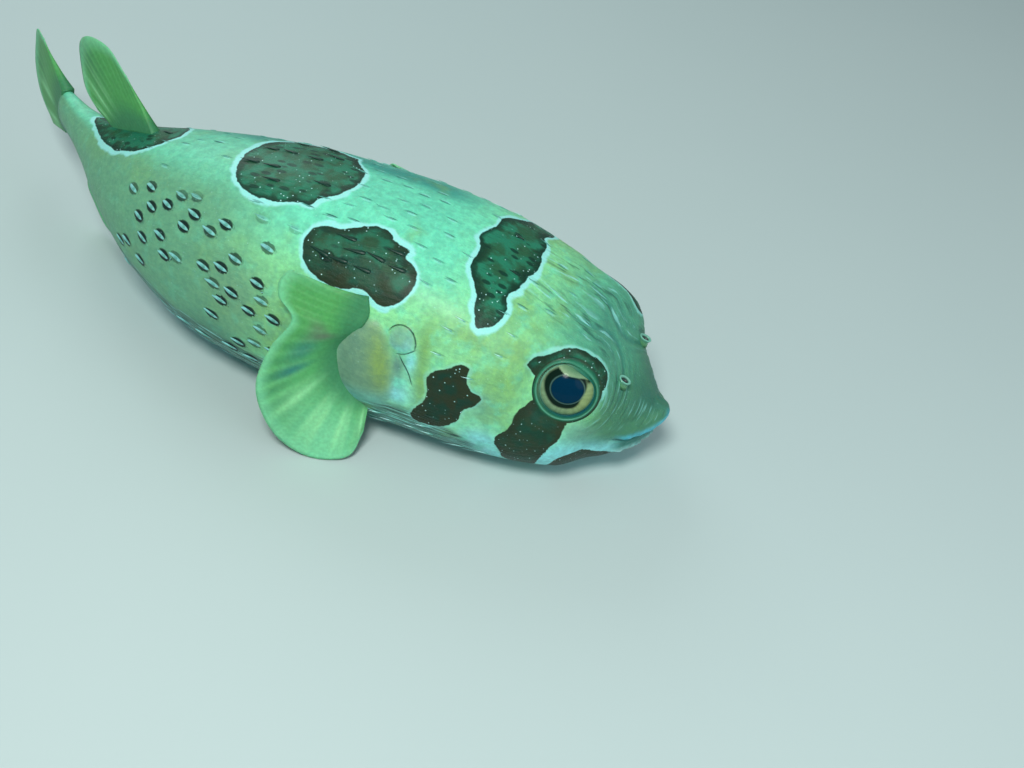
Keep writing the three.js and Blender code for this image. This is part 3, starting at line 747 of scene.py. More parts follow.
class Relief:
    """Moves points of the plain skin to give it lips, folds, the fins' bases, the gill and mounds."""

    def __init__(self, points, outwards, x, angle, spines):
        self.points = points.copy()
        self.outwards = outwards
        self.x = x
        self.angle = angle
        self.masks = {}
        self.mouth()
        self.lobes()
        self.gill()
        self.eye_folds()
        self.mounds(spines)

    def push(self, amount):
        self.points += self.outwards * amount[:, None]

    def mouth(self):
        """The lips on both sides of the slit, their creases, and the fringe of flaps on the chin."""
        x, y, z = self.points.T.copy()
        here = falling(x, 27, 34) * falling(np.abs(y), 20, 28)
        arch = MOUTH["arch"] * hill(y, 0, MOUTH["arch_width"])
        v = z - MOUTH["height"] - arch - MOUTH["rise"] * (y / MOUTH["half"]) ** 2
        round_mouth = 30 * np.arcsin(np.clip(y / 29, -1, 1))
        v += 0.35 * np.sin(round_mouth * 1.1) * smoothstep(v, -2, 3)
        slit = hill(v, -0.3, 0.85)
        upper = smoothstep(v, -0.2, 1.2) * falling(v, 2.5, 9)
        lower = smoothstep(-v, 0.8, 2.2) * falling(-v, 6.5, 9.5)
        flaps = np.abs(np.sin(math.pi * round_mouth / 2.3 + 0.7 * np.sin(round_mouth * 1.7)))
        fringe = hill(v, -7.8, 1.3) * (0.45 + 0.55 * flaps)
        creases = np.sin(2 * math.pi * round_mouth / 1.9 + 1.3 * np.sin(round_mouth * 0.9))
        amount = 2.2 * upper + 1.2 * lower + 2.1 * fringe - 4.5 * slit
        amount += 0.16 * creases * lower - 0.9 * hill(v, -10.6, 1.2) - 0.4 * hill(v, 9.5, 1.6)
        self.push(amount * here)
        self.points[:, 2] -= here * (1.5 * hill(v, 0.9, 1.0) + 0.7 * fringe)
        self.masks["slit"] = slit * here
        self.masks["lip_edge"] = hill(v, 1.5, 1.5) * here
        self.masks["lower_lip"] = smoothstep(lower, 0.05, 0.7) * here
        self.masks["fringe"] = fringe * here
        self.masks["muzzle"] = falling(x, 18, 40) * smoothstep(v, 0, 2)

    def lobes(self):
        """The round muscle that each side fin grows from."""
        x, y, z = self.points.T
        tilt = math.radians(LOBE["tilt"])
        dx, dz = x - LOBE["centre"][0], z - LOBE["centre"][2]
        along = (dx * math.cos(tilt) - dz * math.sin(tilt)) / LOBE["radii"][0]
        upwards = (dx * math.sin(tilt) + dz * math.cos(tilt)) / LOBE["radii"][2]
        along = np.where(along > 0, along / (1 + LOBE_FULLNESS * hill(upwards, -0.9, 0.7)), along)
        q = along**2 + upwards**2
        reach = LOBE["centre"][1] + LOBE["radii"][1] * np.sqrt(np.maximum(1 - q, 0))
        reach -= 9 * np.maximum(q - 1, 0)
        width = np.abs(y)
        softness = 2.2
        overlap = np.maximum(softness - np.abs(reach - width), 0) / softness
        raised = np.maximum(reach, width) + overlap**2 * softness / 4
        near = falling(q, 1.3, 2.2)
        self.points[:, 1] = np.sign(y) * (width + (raised - width) * near)
        rearward = 7 * smoothstep(along, 0.2, 0.8)
        self.masks["lobe"] = smoothstep(reach - width + rearward, -1.5, 2.6) * near
        self.masks["lobe_along"] = along
        self.masks["lobe_up"] = upwards

    def gill(self):
        """The gill's pale flap and the hollows on both sides of it; the thin lines are the material's."""
        centre, back, out = skin_frame(np.array(GILL_FLAP["x"]), np.array(GILL_FLAP["angle"]))
        away = np.column_stack([self.points[:, 0], -np.abs(self.points[:, 1]), self.points[:, 2]]) - centre
        along = away @ back / GILL_FLAP["radii"][0]
        across = away @ np.cross(out, back) / GILL_FLAP["radii"][1]
        q = along**2 + across**2
        flap = np.sqrt(np.maximum(1 - q, 0))
        flank = flank_angle(self.angle)
        hollow = hill(self.x - 117 + 0.25 * (flank - 10), 0, 3) * hill(flank, 8, 12)
        mass = hill(self.x, 124, 7) * hill(flank, -3, 6)
        self.push(1.6 * flap - 0.8 * hollow + 0.9 * mass)
        self.masks["gill_flap"] = 0.85 * smoothstep(1 - q, -0.05, 0.5)
        for name, line in GILL_LINES.items():
            self.masks["gill_" + name], self.masks[name + "_strength"] = line_distance(self.points, line)

    def eye_folds(self):
        """Creases that run forwards along the brow and bend down round the front of the eye."""
        height, _, level = eye_place(self.points)
        up, forwards = eye_directions()
        lean = math.radians(FOLD_LEAN)
        above = level @ up * math.cos(lean) + level @ forwards * math.sin(lean)
        ahead = level @ forwards * math.cos(lean) - level @ up * math.sin(lean)
        round_front = np.hypot(above, np.maximum(ahead, 0))
        along = np.where(ahead > 0, np.arctan2(ahead, above) * round_front, ahead)
        here = smoothstep(height, -40, -16) * smoothstep(above, -6, 10) * falling(-ahead, 8, 26)
        wave = 1.1 * np.sin(along * 0.11 + 0.7)
        creases = sum(depth * hill(round_front, radius + wave, 0.9) for radius, depth in EYE_FOLDS)
        self.push(-creases * here)
        self.masks["eye_folds"] = np.clip(creases * here * 1.3, 0, 1)
        self.masks["round_front"] = round_front
        self.masks["along_front"] = along

    def mounds(self, spines):
        """Each spine's sheath is a low mound, and the material marks it from these two distances."""
        roots, backs, ups, _ = spine_frame(spines[:, 0], spines[:, 1])
        nearest, _ = nearest_of(roots, self.points)
        away = self.points - roots[nearest]
        u = np.sum(away * backs[nearest], 1)
        v = np.sum(away * ups[nearest], 1)
        far = ((u - 1) / 5) ** 2 + (v / 3.6) ** 2 > 1
        rear = rearness(self.x, flank_angle(self.angle))
        self.push((0.2 + 0.2 * rear) * hill(v, 0, 1.4) * hill(u, 1.2, 3.0) * ~far)
        self.masks["mark_u"] = np.where(far, 60, u)
        self.masks["mark_v"] = np.where(far, np.where(v < 0, -12, 12), v)
        self.masks["mark"] = draws.uniform(0.25, 1, len(spines))[nearest]


# ---------------------------------------------------------------- the skin's colours


def belly_strip(x, flank):
    """The streaked skin along the belly's edge, drawn tight by the fish's weight."""
    top = -10 - 12 * falling(x, 80, 108) - 6 * smoothstep(x, 160, 200)
    return smoothstep(top - flank, -2, 4) * falling(-flank, 46, 62) * smoothstep(x, 74, 92)


def zone_colours(points, x, angle, masks):
    """The skin's ground colour at each place, before blotches and fine marks, with its painted shade and
    highlights.
    """
    flank = flank_angle(angle)
    up = np.sin(np.radians(flank))
    colours = np.tile(BACK_YELLOW, (len(x), 1))
    colours = blend(colours, BACK_GREEN, 0.85 * smoothstep(up, 0.5, 0.9) * smoothstep(x, 70, 130))
    colours = blend(colours, REAR_FLANK, smoothstep(x, 185, 235) * (1 - 0.7 * smoothstep(flank, 50, 75)))
    # painted shade over the back just past its middle, mostly on the left, from the gill back to the tail
    # stalk
    far_side_shade = 0.12 * smoothstep(angle, 74, 84) + 0.65 * smoothstep(angle, 98, 108)
    far_side_shade *= falling(angle, 112, 136)
    colours = blend(colours, RIDGE_SHADE, far_side_shade * smoothstep(x, 112, 140) * falling(x, 230, 300))
    colours = blend(colours, FOREHEAD, falling(x, 48, 84) * smoothstep(flank, 20, 50))
    colours = blend(colours, SNOUT_OLIVE, falling(x + 0.16 * (flank - 20), 24, 44))
    for colour, at_x, at_angle, reach_x, reach_angle, strength in PATCHES:
        patch = strength * hill(x, at_x, reach_x) * hill(flank, at_angle, reach_angle)
        colours = blend(colours, colour, patch)
    belly_edge = -15 - 12 * smoothstep(x, 130, 200) + 10 * falling(x, 40, 70)
    colours = blend(colours, BELLY, falling(flank, belly_edge - 16, belly_edge + 8))
    colours = blend(colours, BELLY_GREY, 0.9 * belly_strip(x, flank))
    colours = blend(colours, LOBE_SKIN, masks["lobe"])
    front = hill(masks["lobe_along"], -0.45, 0.42) * hill(masks["lobe_up"], 0.2, 0.8)
    colours = blend(colours, LOBE_BAND, 0.9 * masks["lobe"] * front)
    colours = blend(colours, LOBE_LOW, masks["lobe"] * smoothstep(-masks["lobe_up"], 0.25, 0.9))
    colours = blend(colours, GILL_PALE, masks["gill_flap"])
    # painted shade in the creases round the front of the eye
    colours = blend(colours, TEAL_AND_GROOVE_SHADE, 0.55 * masks["eye_folds"])
    colours = blend(colours, SNOUT_GREY, 0.42 * masks["muzzle"])
    colours = blend(colours, LIP_SKIN, masks["lower_lip"])
    colours = blend(colours, SPECK_AND_GLINT, 0.8 * masks["fringe"])
    # the upper lip's rim: its own pale colour, brightened as a painted highlight
    colours = blend(colours, LIP_PALE_AND_HIGHLIGHT, masks["lip_edge"])
    # painted shade in the slit of the mouth, under the upper lip
    return blend(colours, CREASE_SHADE, masks["slit"])


# ---------------------------------------------------------------- shaders


class Shader:
    """A material with a Principled shader, and short ways to lay its nodes."""

    def __init__(self, name, **uniform):
        self.material = bpy.data.materials.new(name)
        self.material.use_nodes = True
        self.tree = self.material.node_tree
        self.principled = self.tree.nodes["Principled BSDF"]
        for socket, value in uniform.items():
            self.principled.inputs[socket.replace("_", " ")].default_value = value

    def join(self, value, socket):
        """Feeds a socket from another socket, or gives it a number, a vector or a colour."""
        if isinstance(value, bpy.types.NodeSocket):
            self.tree.links.new(value, socket)
        elif isinstance(value, (int, float)):
            socket.default_value = value
        else:
            value = tuple(float(v) for v in value)
            socket.default_value = value + (1,) if len(socket.default_value) == 4 else value

    def node(self, kind, *values, **settings):
        made = self.tree.nodes.new("ShaderNode" + kind)
        for name, value in settings.items():
            setattr(made, name, value)
        for socket, value in values:
            self.join(value, made.inputs[socket])
        return made

    def attribute(self, name, output="Fac"):
        return self.node("Attribute", attribute_name=name).outputs[output]

    def math(self, operation, *values):
        return self.node("Math", *enumerate(values), operation=operation).outputs[0]

    def step(self, value, low, high):
        """A smooth rise from 0 at low to 1 at high."""
        made = self.node("MapRange", ("Value", value), ("From Min", low), ("From Max", high),
                         interpolation_type="SMOOTHSTEP")
        return made.outputs["Result"]

    def scaled(self, place, *factors):
        """A place with its three parts multiplied by factors."""
        return self.node("VectorMath", (0, place), (1, factors), operation="MULTIPLY").outputs[0]

    def fall(self, value, low, high):
        """A smooth fall from 1 at low to 0 at high."""
        return self.without(self.step(value, low, high))

    def noise(self, place, size, detail=2.0, stretch=None):
        """Noise whose features are about so many millimetres across, longer along x by the stretch."""
        if stretch:
            place = self.scaled(place, 1 / stretch, 1, 1)
        made = self.node("TexNoise", ("Vector", place), ("Scale", 1 / size), ("Detail", detail))
        return made.outputs["Fac"]

    def clouds(self, place, size, detail, low, high, **more):
        """Soft-edged clouds about so many millimetres across."""
        return self.step(self.noise(place, size, detail, **more), low, high)

    def cells(self, place, size):
        """The nearest cell's distance and random colour, for cells about so many millimetres across."""
        made = self.node("TexVoronoi", ("Vector", place), ("Scale", 1 / size), feature="F1")
        return made.outputs["Distance"], made.outputs["Color"]

    def mix(self, share, first, second, blend_type="MIX"):
        made = self.node("Mix", (0, share), (6, first), (7, second), data_type="RGBA", blend_type=blend_type)
        return made.outputs[2]

    def mix_value(self, share, first, second):
        """A number between two numbers."""
        return self.node("Mix", (0, share), (2, first), (3, second), data_type="FLOAT").outputs[0]

    def times(self, *values):
        product = values[0]
        for value in values[1:]:
            product = self.math("MULTIPLY", product, value)
        return product

    def without(self, value):
        return self.math("SUBTRACT", 1.0, value)

    def oval(self, u, v, middle_u, middle_v, half_u, half_v, soft=0.25):
        """1 inside an oval of the two distances, falling to 0 over its soft edge."""
        parts = []
        for distance, middle, half in ((u, middle_u, half_u), (v, middle_v, half_v)):
            share = self.math("DIVIDE", self.math("SUBTRACT", distance, middle), half)
            parts.append(self.math("POWER", self.math("ABSOLUTE", share), 2.0))
        return self.fall(self.math("ADD", *parts), 1 - soft, 1 + soft)

    def bump(self, height, millimetres, normal=None):
        made = self.node("Bump", ("Height", height), ("Distance", millimetres / 1000), ("Strength", 1.0))
        if normal:
            self.join(normal, made.inputs["Normal"])
        return made.outputs["Normal"]

    def finish(self, **sockets):
        for socket, value in sockets.items():
            self.join(value, self.principled.inputs[socket.replace("_", " ")])
        return self.material


def blotched(s, place, ground):
    """The ground colour with the white-edged dark blotches over it, and how dark they are."""
    border, brown = s.attribute("border"), s.attribute("brown")
    wobble = s.times(s.math("SUBTRACT", s.noise(place, 8), 0.5), 3.0)
    ripple = s.times(s.math("SUBTRACT", s.noise(place, 2.2), 0.5), 0.9)
    depth = s.math("ADD", s.math("ADD", s.attribute("blotch"), wobble), ripple)
    inside = s.step(depth, -0.2, 0.4)
    uneven = s.math("ADD", s.times(s.clouds(place, 12, 2.0, 0.35, 0.65), -1.7), -1.3)
    width = s.times(uneven, s.mix_value(border, 0.4, 1.0))
    edge = s.step(depth, s.math("SUBTRACT", width, 0.9), s.math("ADD", width, 0.9))
    cloud = s.clouds(place, 9, 4, 0.4, 0.62)
    teal = s.mix(s.times(cloud, 0.75), BLOTCH_TEAL, BLOTCH_OLIVE)
    earth = s.mix(s.clouds(place, 7, 4, 0.4, 0.62), BLOTCH_LOW, BLOTCH_BROWN)
    dark = s.mix(brown, teal, earth)
    rim = s.fall(depth, 0.5, s.math("ADD", 3.2, s.times(cloud, 6.0)))
    dark = s.mix(s.times(rim, 0.85), dark, s.mix(brown, BLOTCH_RIM, BLOTCH_BROWN))
    streaks = s.clouds(place, 1.5, 3, 0.55, 0.72, stretch=6)
    dark = s.mix(s.times(streaks, 0.35), dark, BLOTCH_RIM)
    colour = s.mix(s.times(edge, border, 0.95), ground, BORDER_AND_GLINT)
    return s.mix(inside, colour, dark), inside


def specks(s, place, colour, inside):
    """Tiny pale dots, mostly inside the blotches, and small dark wedges in the green ones."""
    wedge = s.fall(s.cells(s.scaled(place, 0.45, 1.0, 1.0), 4.8)[0], 0.2, 0.32)
    colour = s.mix(s.times(wedge, inside, s.without(s.attribute("brown")), 0.9), colour, BLOTCH_WEDGE)
    distance, random_colour = s.cells(place, 1.9)
    picked = s.step(s.node("SeparateXYZ", (0, random_colour)).outputs["X"], 0.62, 0.95)
    share = s.times(s.fall(distance, 0.08, 0.24), picked, s.math("ADD", 0.18, s.times(inside, 0.7)))
    return s.mix(share, colour, SPECK_AND_GLINT)


def spine_marks(s, colour, inside):
    """Round each spine: crescents of painted shade in the pits of the rear flank, elsewhere a dash of painted
    shadow and a painted glint.
    """
    u, v, pit = s.attribute("mark_u"), s.attribute("mark_v"), s.attribute("pit")
    open_skin = s.without(inside)
    mark = s.attribute("mark")
    core = s.oval(u, v, 1.0, 0.0, 3.2, 1.1)
    opening = s.oval(u, v, s.math("ADD", 0.2, s.times(mark, 2.0)), 0.0, 4.0, 0.95, 0.2)
    ring = s.oval(u, v, 0.9, 0.0, 3.7, 2.8, 0.3)
    crescents = s.times(ring, s.without(opening), s.step(mark, -0.2, 0.6))
    dash = s.times(s.without(pit), mark)
    # a painted glint: a pale dash just below the spine
    glint_dash = s.times(s.oval(u, v, 0.8, -0.75, 2.4, 0.55, 0.6), dash, open_skin, 0.6)
    # a painted shadow: a dark dash along the spine's upper side, in the groove it lies in
    shadow_dash = s.times(s.oval(u, v, 1.2, 0.5, 3.1, 0.45, 0.6), dash, 0.95)
    colour = s.mix(s.times(core, pit, open_skin, 0.85), colour, SPINE_PALE)
    colour = s.mix(glint_dash, colour, BORDER_AND_GLINT)
    colour = s.mix(shadow_dash, colour, SPINE_GROOVE_SHADE)
    # painted shade: the black crescents in the openings of the rear flank's pits
    return s.mix(s.times(crescents, pit, 0.96), colour, BLACK), crescents


def mottled(s, place):
    """The skin's stored ground colour with olive and pale clouds and fine mottle."""
    olive = s.attribute("olive")
    ground = s.attribute("zone", "Color")
    ground = s.mix(s.times(s.clouds(place, 24, 3, 0.5, 0.68), olive, 0.5), ground, CHEEK_OLIVE)
    ground = s.mix(s.times(s.clouds(place, 7, 4, 0.5, 0.72), olive, 0.4), ground, BACK_GREEN)
    ground = s.mix(s.times(s.without(s.clouds(place, 4, 5, 0.35, 0.65)), 0.24), ground, REAR_GREY)
    return s.mix(s.times(s.without(s.clouds(place, 1.6, 3, 0.35, 0.65)), 0.12), ground, TEAL_AND_GROOVE_SHADE)


def flow_lines(s):
    """How strong the pale and the dark lines are that follow the skin's folds; the pale ones are painted
    glints.
    """
    along = s.scaled(s.attribute("flow_place", "Vector"), 1.0, 1 / 11, 0)
    streaks = s.noise(along, 1.5, 2)
    return s.step(streaks, 0.56, 0.66), s.fall(streaks, 0.34, 0.46)


def gill_groove(s):
    """1 in the gill opening's thin lines."""
    groove = 0.0
    for name in GILL_LINES:
        distance = s.math("ABSOLUTE", s.attribute("gill_" + name))
        line = s.times(s.fall(distance, 0.05, 0.45), s.attribute(name + "_strength"))
        groove = s.math("MAXIMUM", groove, line)
    return groove


def skin_material():
    gloss = {"Specular_IOR_Level": 0.2, "Coat_Weight": 0.06, "Coat_Roughness": 0.2}
    s = Shader("porcupinefish_skin", Subsurface_Weight=0.1, Subsurface_Scale=0.003, **gloss)
    place = s.attribute("straight", "Vector")
    flow = s.attribute("flow")
    glint_line, dark_line = flow_lines(s)
    # pale lines along the folds and the belly's streaks: painted glints
    ground = s.mix(s.times(glint_line, flow), mottled(s, place), BORDER_AND_GLINT)
    ground = s.mix(s.times(dark_line, flow, 0.95), ground, BELLY_LINE)
    colour, inside = blotched(s, place, ground)
    colour, crescents = spine_marks(s, colour, inside)
    groove = gill_groove(s)
    # painted shade in the gill opening's thin lines
    colour = s.mix(s.times(groove, 0.75), colour, CREASE_SHADE)
    colour = specks(s, place, colour, inside)
    colour = s.mix(s.attribute("lid"), colour, s.attribute("lid_colour", "Color"))

    grain = s.noise(place, 0.7, 4)
    hollows = s.math("MAXIMUM", groove, s.times(crescents, s.attribute("pit")))
    normal = s.bump(s.noise(place, 1.8, 3, stretch=3), 0.35)
    normal = s.bump(s.times(s.math("SUBTRACT", glint_line, dark_line), flow), 0.35, normal)
    normal = s.bump(s.without(hollows), 0.6, normal)
    normal = s.bump(grain, 0.16, normal)
    roughness = s.math("ADD", 0.32, s.times(grain, 0.28))
    return s.finish(Base_Color=colour, Normal=normal, Roughness=roughness)


def painted_material(name, grain_size, bump, **uniform):
    """A material whose colour is stored at each vertex, with fine grain over it."""
    s = Shader(name, **uniform)
    grain = s.noise(s.attribute("straight", "Vector"), grain_size, 4)
    paint = s.attribute("zone", "Color")
    shaded = s.mix(s.step(grain, 0.3, 0.7), s.mix(0.14, paint, BLACK), paint)
    return s.finish(Base_Color=shaded, Normal=s.bump(grain, bump))


# ---------------------------------------------------------------- the skin


def skin_rows():
    """Places of the skin's rows behind the snout: close together over the face."""
    share = np.linspace(0, NOSE_SHARE, NOSE_ROWS)[1:]
    nose = SNOUT + MUZZLE_ROUND * (1 - (1 - share**MUZZLE_POWER) ** (1 / MUZZLE_POWER))
    face = np.linspace(nose[-1], FACE_END, FACE_ROWS)[1:]
    body = np.linspace(FACE_END, STALK_END, BODY_ROWS)[1:]
    return np.concatenate([nose, face, body])


def skin_grid():
    """The plain skin as a grid, with the way out of it at each place."""
    x, angle = np.meshgrid(skin_rows(), -90 + 360 * (np.arange(COLUMNS) + 0.5) / COLUMNS, indexing="ij")
    points = skin_point(x, angle)
    behind = np.gradient(points, axis=0)
    beside = np.roll(points, -1, 1) - np.roll(points, 1, 1)
    outwards = unit(np.cross(beside, behind))
    middle = np.stack([points[..., 0] + 8, 0 * x, section(x)[3]], -1)
    outwards *= np.sign(np.sum(outwards * (points - middle), -1).mean())
    return x.ravel(), angle.ravel(), points.reshape(-1, 3), outwards.reshape(-1, 3)


def boundary_loop(faces):
    """The one closed line of edges that only one of these faces uses, as ordered vertices."""
    edges = np.concatenate([np.stack([faces[:, k], faces[:, (k + 1) % 4]], 1) for k in range(4)])
    used = set(map(tuple, edges.tolist()))
    following = {a: b for a, b in used if (b, a) not in used}
    start = next(iter(following))
    loop = [start]
    while following[loop[-1]] != start:
        loop.append(following[loop[-1]])
    return np.array(loop)


def zip_rings(outer, outer_angles, inner, inner_angles):
    """Triangles between two rings of vertices, each listed by rising angle round the same axis."""
    triangles = []
    i = j = 0
    while i < len(outer) or j < len(inner):
        next_outer = outer_angles[i + 1] if i + 1 < len(outer) else outer_angles[0] + 360
        next_inner = inner_angles[j + 1] if j + 1 < len(inner) else inner_angles[0] + 360
        a, b = outer[i % len(outer)], inner[j % len(inner)]
        if j >= len(inner) or (i < len(outer) and next_outer <= next_inner):
            triangles.append((a, outer[(i + 1) % len(outer)], b))
            i += 1
        else:
            triangles.append((a, inner[(j + 1) % len(inner)], b))
            j += 1
    return triangles


def ball_height(radius):
    """The eyeball's height over its middle plane at a distance from its axis."""
    return EYE_DEPTH * np.sqrt(np.maximum(1 - (radius / EYE_RADIUS) ** 2, 0))


def lid_rings(bearings, edge_heights):
    """Rings of the round eyelid, from the skin's hole in to behind the edge that lies on the eye."""
    hood = HOOD["depth"] * facing(bearings, HOOD["angle"], HOOD["width"])
    opening = LID_OPENING - hood
    plane = np.full(len(bearings), RIM["height"] + 0.1)
    rings = []
    for share, rise in LID_RINGS:
        radius = opening + (EYE_HOLE - opening) * share
        settled = smoothstep(share, 0.35, 0.95)
        base = np.maximum(plane, ball_height(radius) + 0.1)
        close = ball_height(radius) + 0.35
        height = base + (edge_heights - plane) * settled + rise
        if share < 0.3:
            height = np.maximum(close, height - (0.3 - share) * 9)
        rings.append((radius, height))
    rings.append((opening, ball_height(opening) + 0.1))
    rings.append((opening + 0.25, ball_height(opening + 0.25) - 0.9))
    return rings


def lid_colours(share, bearings):
    """The lid's colours at a share of the way in from the skin to its edge on the eye, with painted shade in
    its inner groove.
    """
    colours = np.tile(LID_GREEN, (len(bearings), 1))
    # painted shade in the groove on the lid's inner side, deepest at its front and bottom
    teal = smoothstep(share, 0.5, 0.75) * (0.35 + 0.65 * facing(bearings, -50, 60))
    colours = blend(colours, TEAL_AND_GROOVE_SHADE, teal)
    upper = facing(bearings, 75, 70)
    colours = blend(colours, BLOTCH_TEAL, (1 - share) * upper)
    colours = blend(colours, SCLERA, hill(share, 0.42, 0.1) * (0.5 - 0.3 * upper))
    rear = facing(bearings, 150, 50)
    return blend(colours, IRIS_CREAM, 0.8 * rear * smoothstep(share, 0.45, 0.7))


def ring_round_hole(cut_faces, bearing, height):
    """The skin's vertices round an eye's hole by rising bearing, with their bearings and heights evened."""
    loop = boundary_loop(cut_faces)
    turned = np.unwrap(np.radians(bearing[loop]))
    if turned[-1] < turned[0]:
        loop, turned = loop[::-1], turned[::-1]
    turned = np.degrees(turned)
    heights = height[loop]
    for _ in range(3):
        ahead = np.append(turned[1:], turned[0] + 360)
        behind = np.insert(turned[:-1], 0, turned[-1] - 360)
        turned = (behind + turned + ahead) / 3
        heights = (np.roll(heights, 1) + heights + np.roll(heights, -1)) / 3
    start = int(np.argmin(turned % 360))
    return [np.roll(values, -start, 0) for values in (loop, turned % 360, heights)]


def eye_ring(side, radius, bearings, heights):
    """Points round an eye's axis, by distance from it, bearing and height along it."""
    up, forwards = eye_directions()
    turn = np.radians(bearings)[:, None]
    spot = EYE_CENTRE + EYE_AXIS * np.asarray(heights)[:, None]
    spot = spot + radius[:, None] * (np.cos(turn) * forwards + np.sin(turn) * up)
    return spot * (1, side, 1)


def add_eyelids(points, faces):
    """Cuts a round hole at each eye into the skin's grid and fills it with the eyelid's rings."""
    up, forwards = eye_directions()
    height, across, level = eye_place(points)
    bearing = np.degrees(np.arctan2(level @ up, level @ forwards)) % 360
    near_eye = (across < EYE_HOLE) & (height > -EYE_HOLE_DEPTH)
    flank_side = np.sign(points[:, 1])
    lid, lid_colour = np.zeros(len(points)), np.zeros((len(points), 3))
    bearings = np.arange(LID_SEGMENTS) * 360 / LID_SEGMENTS
    triangles, quads = [], []
    for side in (-1, 1):
        cut = (near_eye & (flank_side == side))[faces].any(1)
        loop, turned, heights = ring_round_hole(faces[cut], bearing, height)
        faces = faces[~cut]
        points[loop] = eye_ring(side, np.full(len(loop), EYE_HOLE), turned, heights)
        rings = lid_rings(bearings, np.interp(bearings, turned, heights, period=360))
        shares = np.linspace(0, 1, len(rings))
        first = len(points)
        points = np.vstack([points] + [eye_ring(side, radius, bearings, rise) for radius, rise in rings])
        lid = np.append(lid, np.repeat(smoothstep(shares, 0.05, 0.3), LID_SEGMENTS))
        lid_colour = np.vstack([lid_colour] + [lid_colours(share, bearings) for share in shares])
        triangles += zip_rings(loop, turned, np.arange(LID_SEGMENTS) + first, bearings)
        quads.append(grid_faces(len(rings), LID_SEGMENTS, True) + first)
    return points, lid, lid_colour, faces.tolist() + triangles + np.concatenate(quads).tolist()


def skin_marks(points, x, angle, masks):
    """What the skin's material reads at each vertex of the grid, by attribute name."""
    flank = flank_angle(angle)
    up_head = flank > 5
    head = falling(x, 64, 92) * smoothstep(flank, 30, 50) * smoothstep(masks["round_front"], 19, 25)
    head *= smoothstep(x, 22, 36) * smoothstep(np.abs(points[:, 1]), 2, 9)
    muzzle = falling(x, 36, 50) * smoothstep(flank, 4, 16) * falling(flank, 50, 66)
    belly = belly_strip(x, flank)
    across_lines = np.where(up_head, masks["round_front"], flank * 1.1)
    along_lines = np.where(up_head, masks["along_front"], x)
    depth, border, brown = blotch_depth(points, x, angle)
    rear = rearness(x, flank)
    return {
        "zone": zone_colours(points, x, angle, masks),
        "blotch": depth,
        "border": border,
        "brown": brown,
        "flow": (0.6 * head + 0.3 * muzzle + belly) * (1 - masks["lobe"]),
        "flow_place": np.stack([across_lines, along_lines, 0 * x], -1),
        "olive": (1 - 0.6 * smoothstep(x, 175, 215)) * (1 - masks["lobe"]) * smoothstep(x, 40, 66),
        "pit": rear,
        "mark": masks["mark"] * falling(-flank, 12, 34) * (1 - 0.6 * cheekness(x, flank)),
        "mark_u": masks["mark_u"],
        "mark_v": masks["mark_v"],
    } | {key: masks[key] for name in GILL_LINES for key in ("gill_" + name, name + "_strength")}


def close_ends(points, faces, rows):
    """The skin with a small fan of faces that closes it at the nose and at the tail."""
    nose, tail = len(points), len(points) + 1
    start = np.arange(COLUMNS)
    end = start + (rows - 1) * COLUMNS
    faces += [(nose, int(b), int(a)) for a, b in zip(start, np.roll(start, -1))]
    faces += [(tail, int(a), int(b)) for a, b in zip(end, np.roll(end, -1))]
    return np.vstack([points, points[start].mean(0), points[end].mean(0)]), faces


def make_skin(spines):
    """One skin over head, trunk, tail stalk, lips and fin bases, with the eyelids."""
    x, angle, plain, outwards = skin_grid()
    relief = Relief(plain, outwards, x, angle, spines)
    rows = len(x) // COLUMNS
    points, lid, lid_colour, faces = add_eyelids(relief.points, grid_faces(rows, COLUMNS, True))
    points, faces = close_ends(points, faces, rows)
    skin = add_mesh("fish_skin", points, faces, skin_material())
    turn_outwards(skin)
    marks = {"straight": points[:len(x)]} | skin_marks(plain, x, angle, relief.masks)
    for name, values in marks.items():
        filler = points[len(x):] if name == "straight" else BEYOND_GRID.get(name, 0.0)
        beyond = np.full((len(points) - len(x),) + values.shape[1:], filler)
        beyond[-2:] = values[0], values[-COLUMNS]
        store(skin, name, MARK_KINDS.get(name, "FLOAT"), np.concatenate([values, beyond]))
    store(skin, "lid", "FLOAT", np.append(lid, (0, 0)))
    store(skin, "lid_colour", "FLOAT_COLOR", np.vstack([lid_colour, LID_GREEN, LID_GREEN]))
    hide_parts("head", "trunk", "tail_stalk", "upper_lip", "lower_lip")
    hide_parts("pectoral_base_right", "pectoral_base_left")
    return skin


# ---------------------------------------------------------------- the spines


def spine_shades(flank, x, rear, dark):
    """The colours of each spine's root and tip; the tips under the flank are pale as painted glints."""
    tips = blend(np.tile(SPINE_ROOT, (len(x), 1)), SPINE_PALE, rear)
    # painted glints on the tips of the spines under the flank; on the cheek the spines are pale
    tips = blend(tips, SPECK_AND_GLINT, np.maximum(smoothstep(-flank, 10, 20) * (1 - rear), cheekness(x, flank)))
    return blend(np.tile(SPINE_ROOT, (len(x), 1)), BLOTCH_WEDGE, dark), blend(tips, BLOTCH_WEDGE, dark)


def spine_rings(place, length, half_width, half_height, bluntness):
    """The rings of one spine, which lies back along the skin and rises a little from it."""
    root, back, up, out = place
    yaw = math.radians(draws.uniform(-8, 8))
    lift = math.radians(draws.uniform(3, 6))
    level = back * math.cos(yaw) + up * math.sin(yaw)
    side = np.cross(level, out)
    turns = np.arange(SPINE_SIDES) * 2 * math.pi / SPINE_SIDES
    rings = []
    for along, pointed in SPINE_STATIONS:
        share = max(along, 0)
        width = pointed ** (1 - 0.65 * bluntness)
        reach = length * share + min(along, 0)
        rise = reach * math.tan(lift) - 0.35 * length * math.sin(lift) * share**2
        centre = root + level * reach + out * (rise + 0.12 - 0.9 * (along < 0))
        across = np.outer(np.cos(turns), side) * (half_width * width)
        rings.append(centre + (across + np.outer(np.sin(turns), out) * (half_height * width)))
    return np.concatenate(rings)


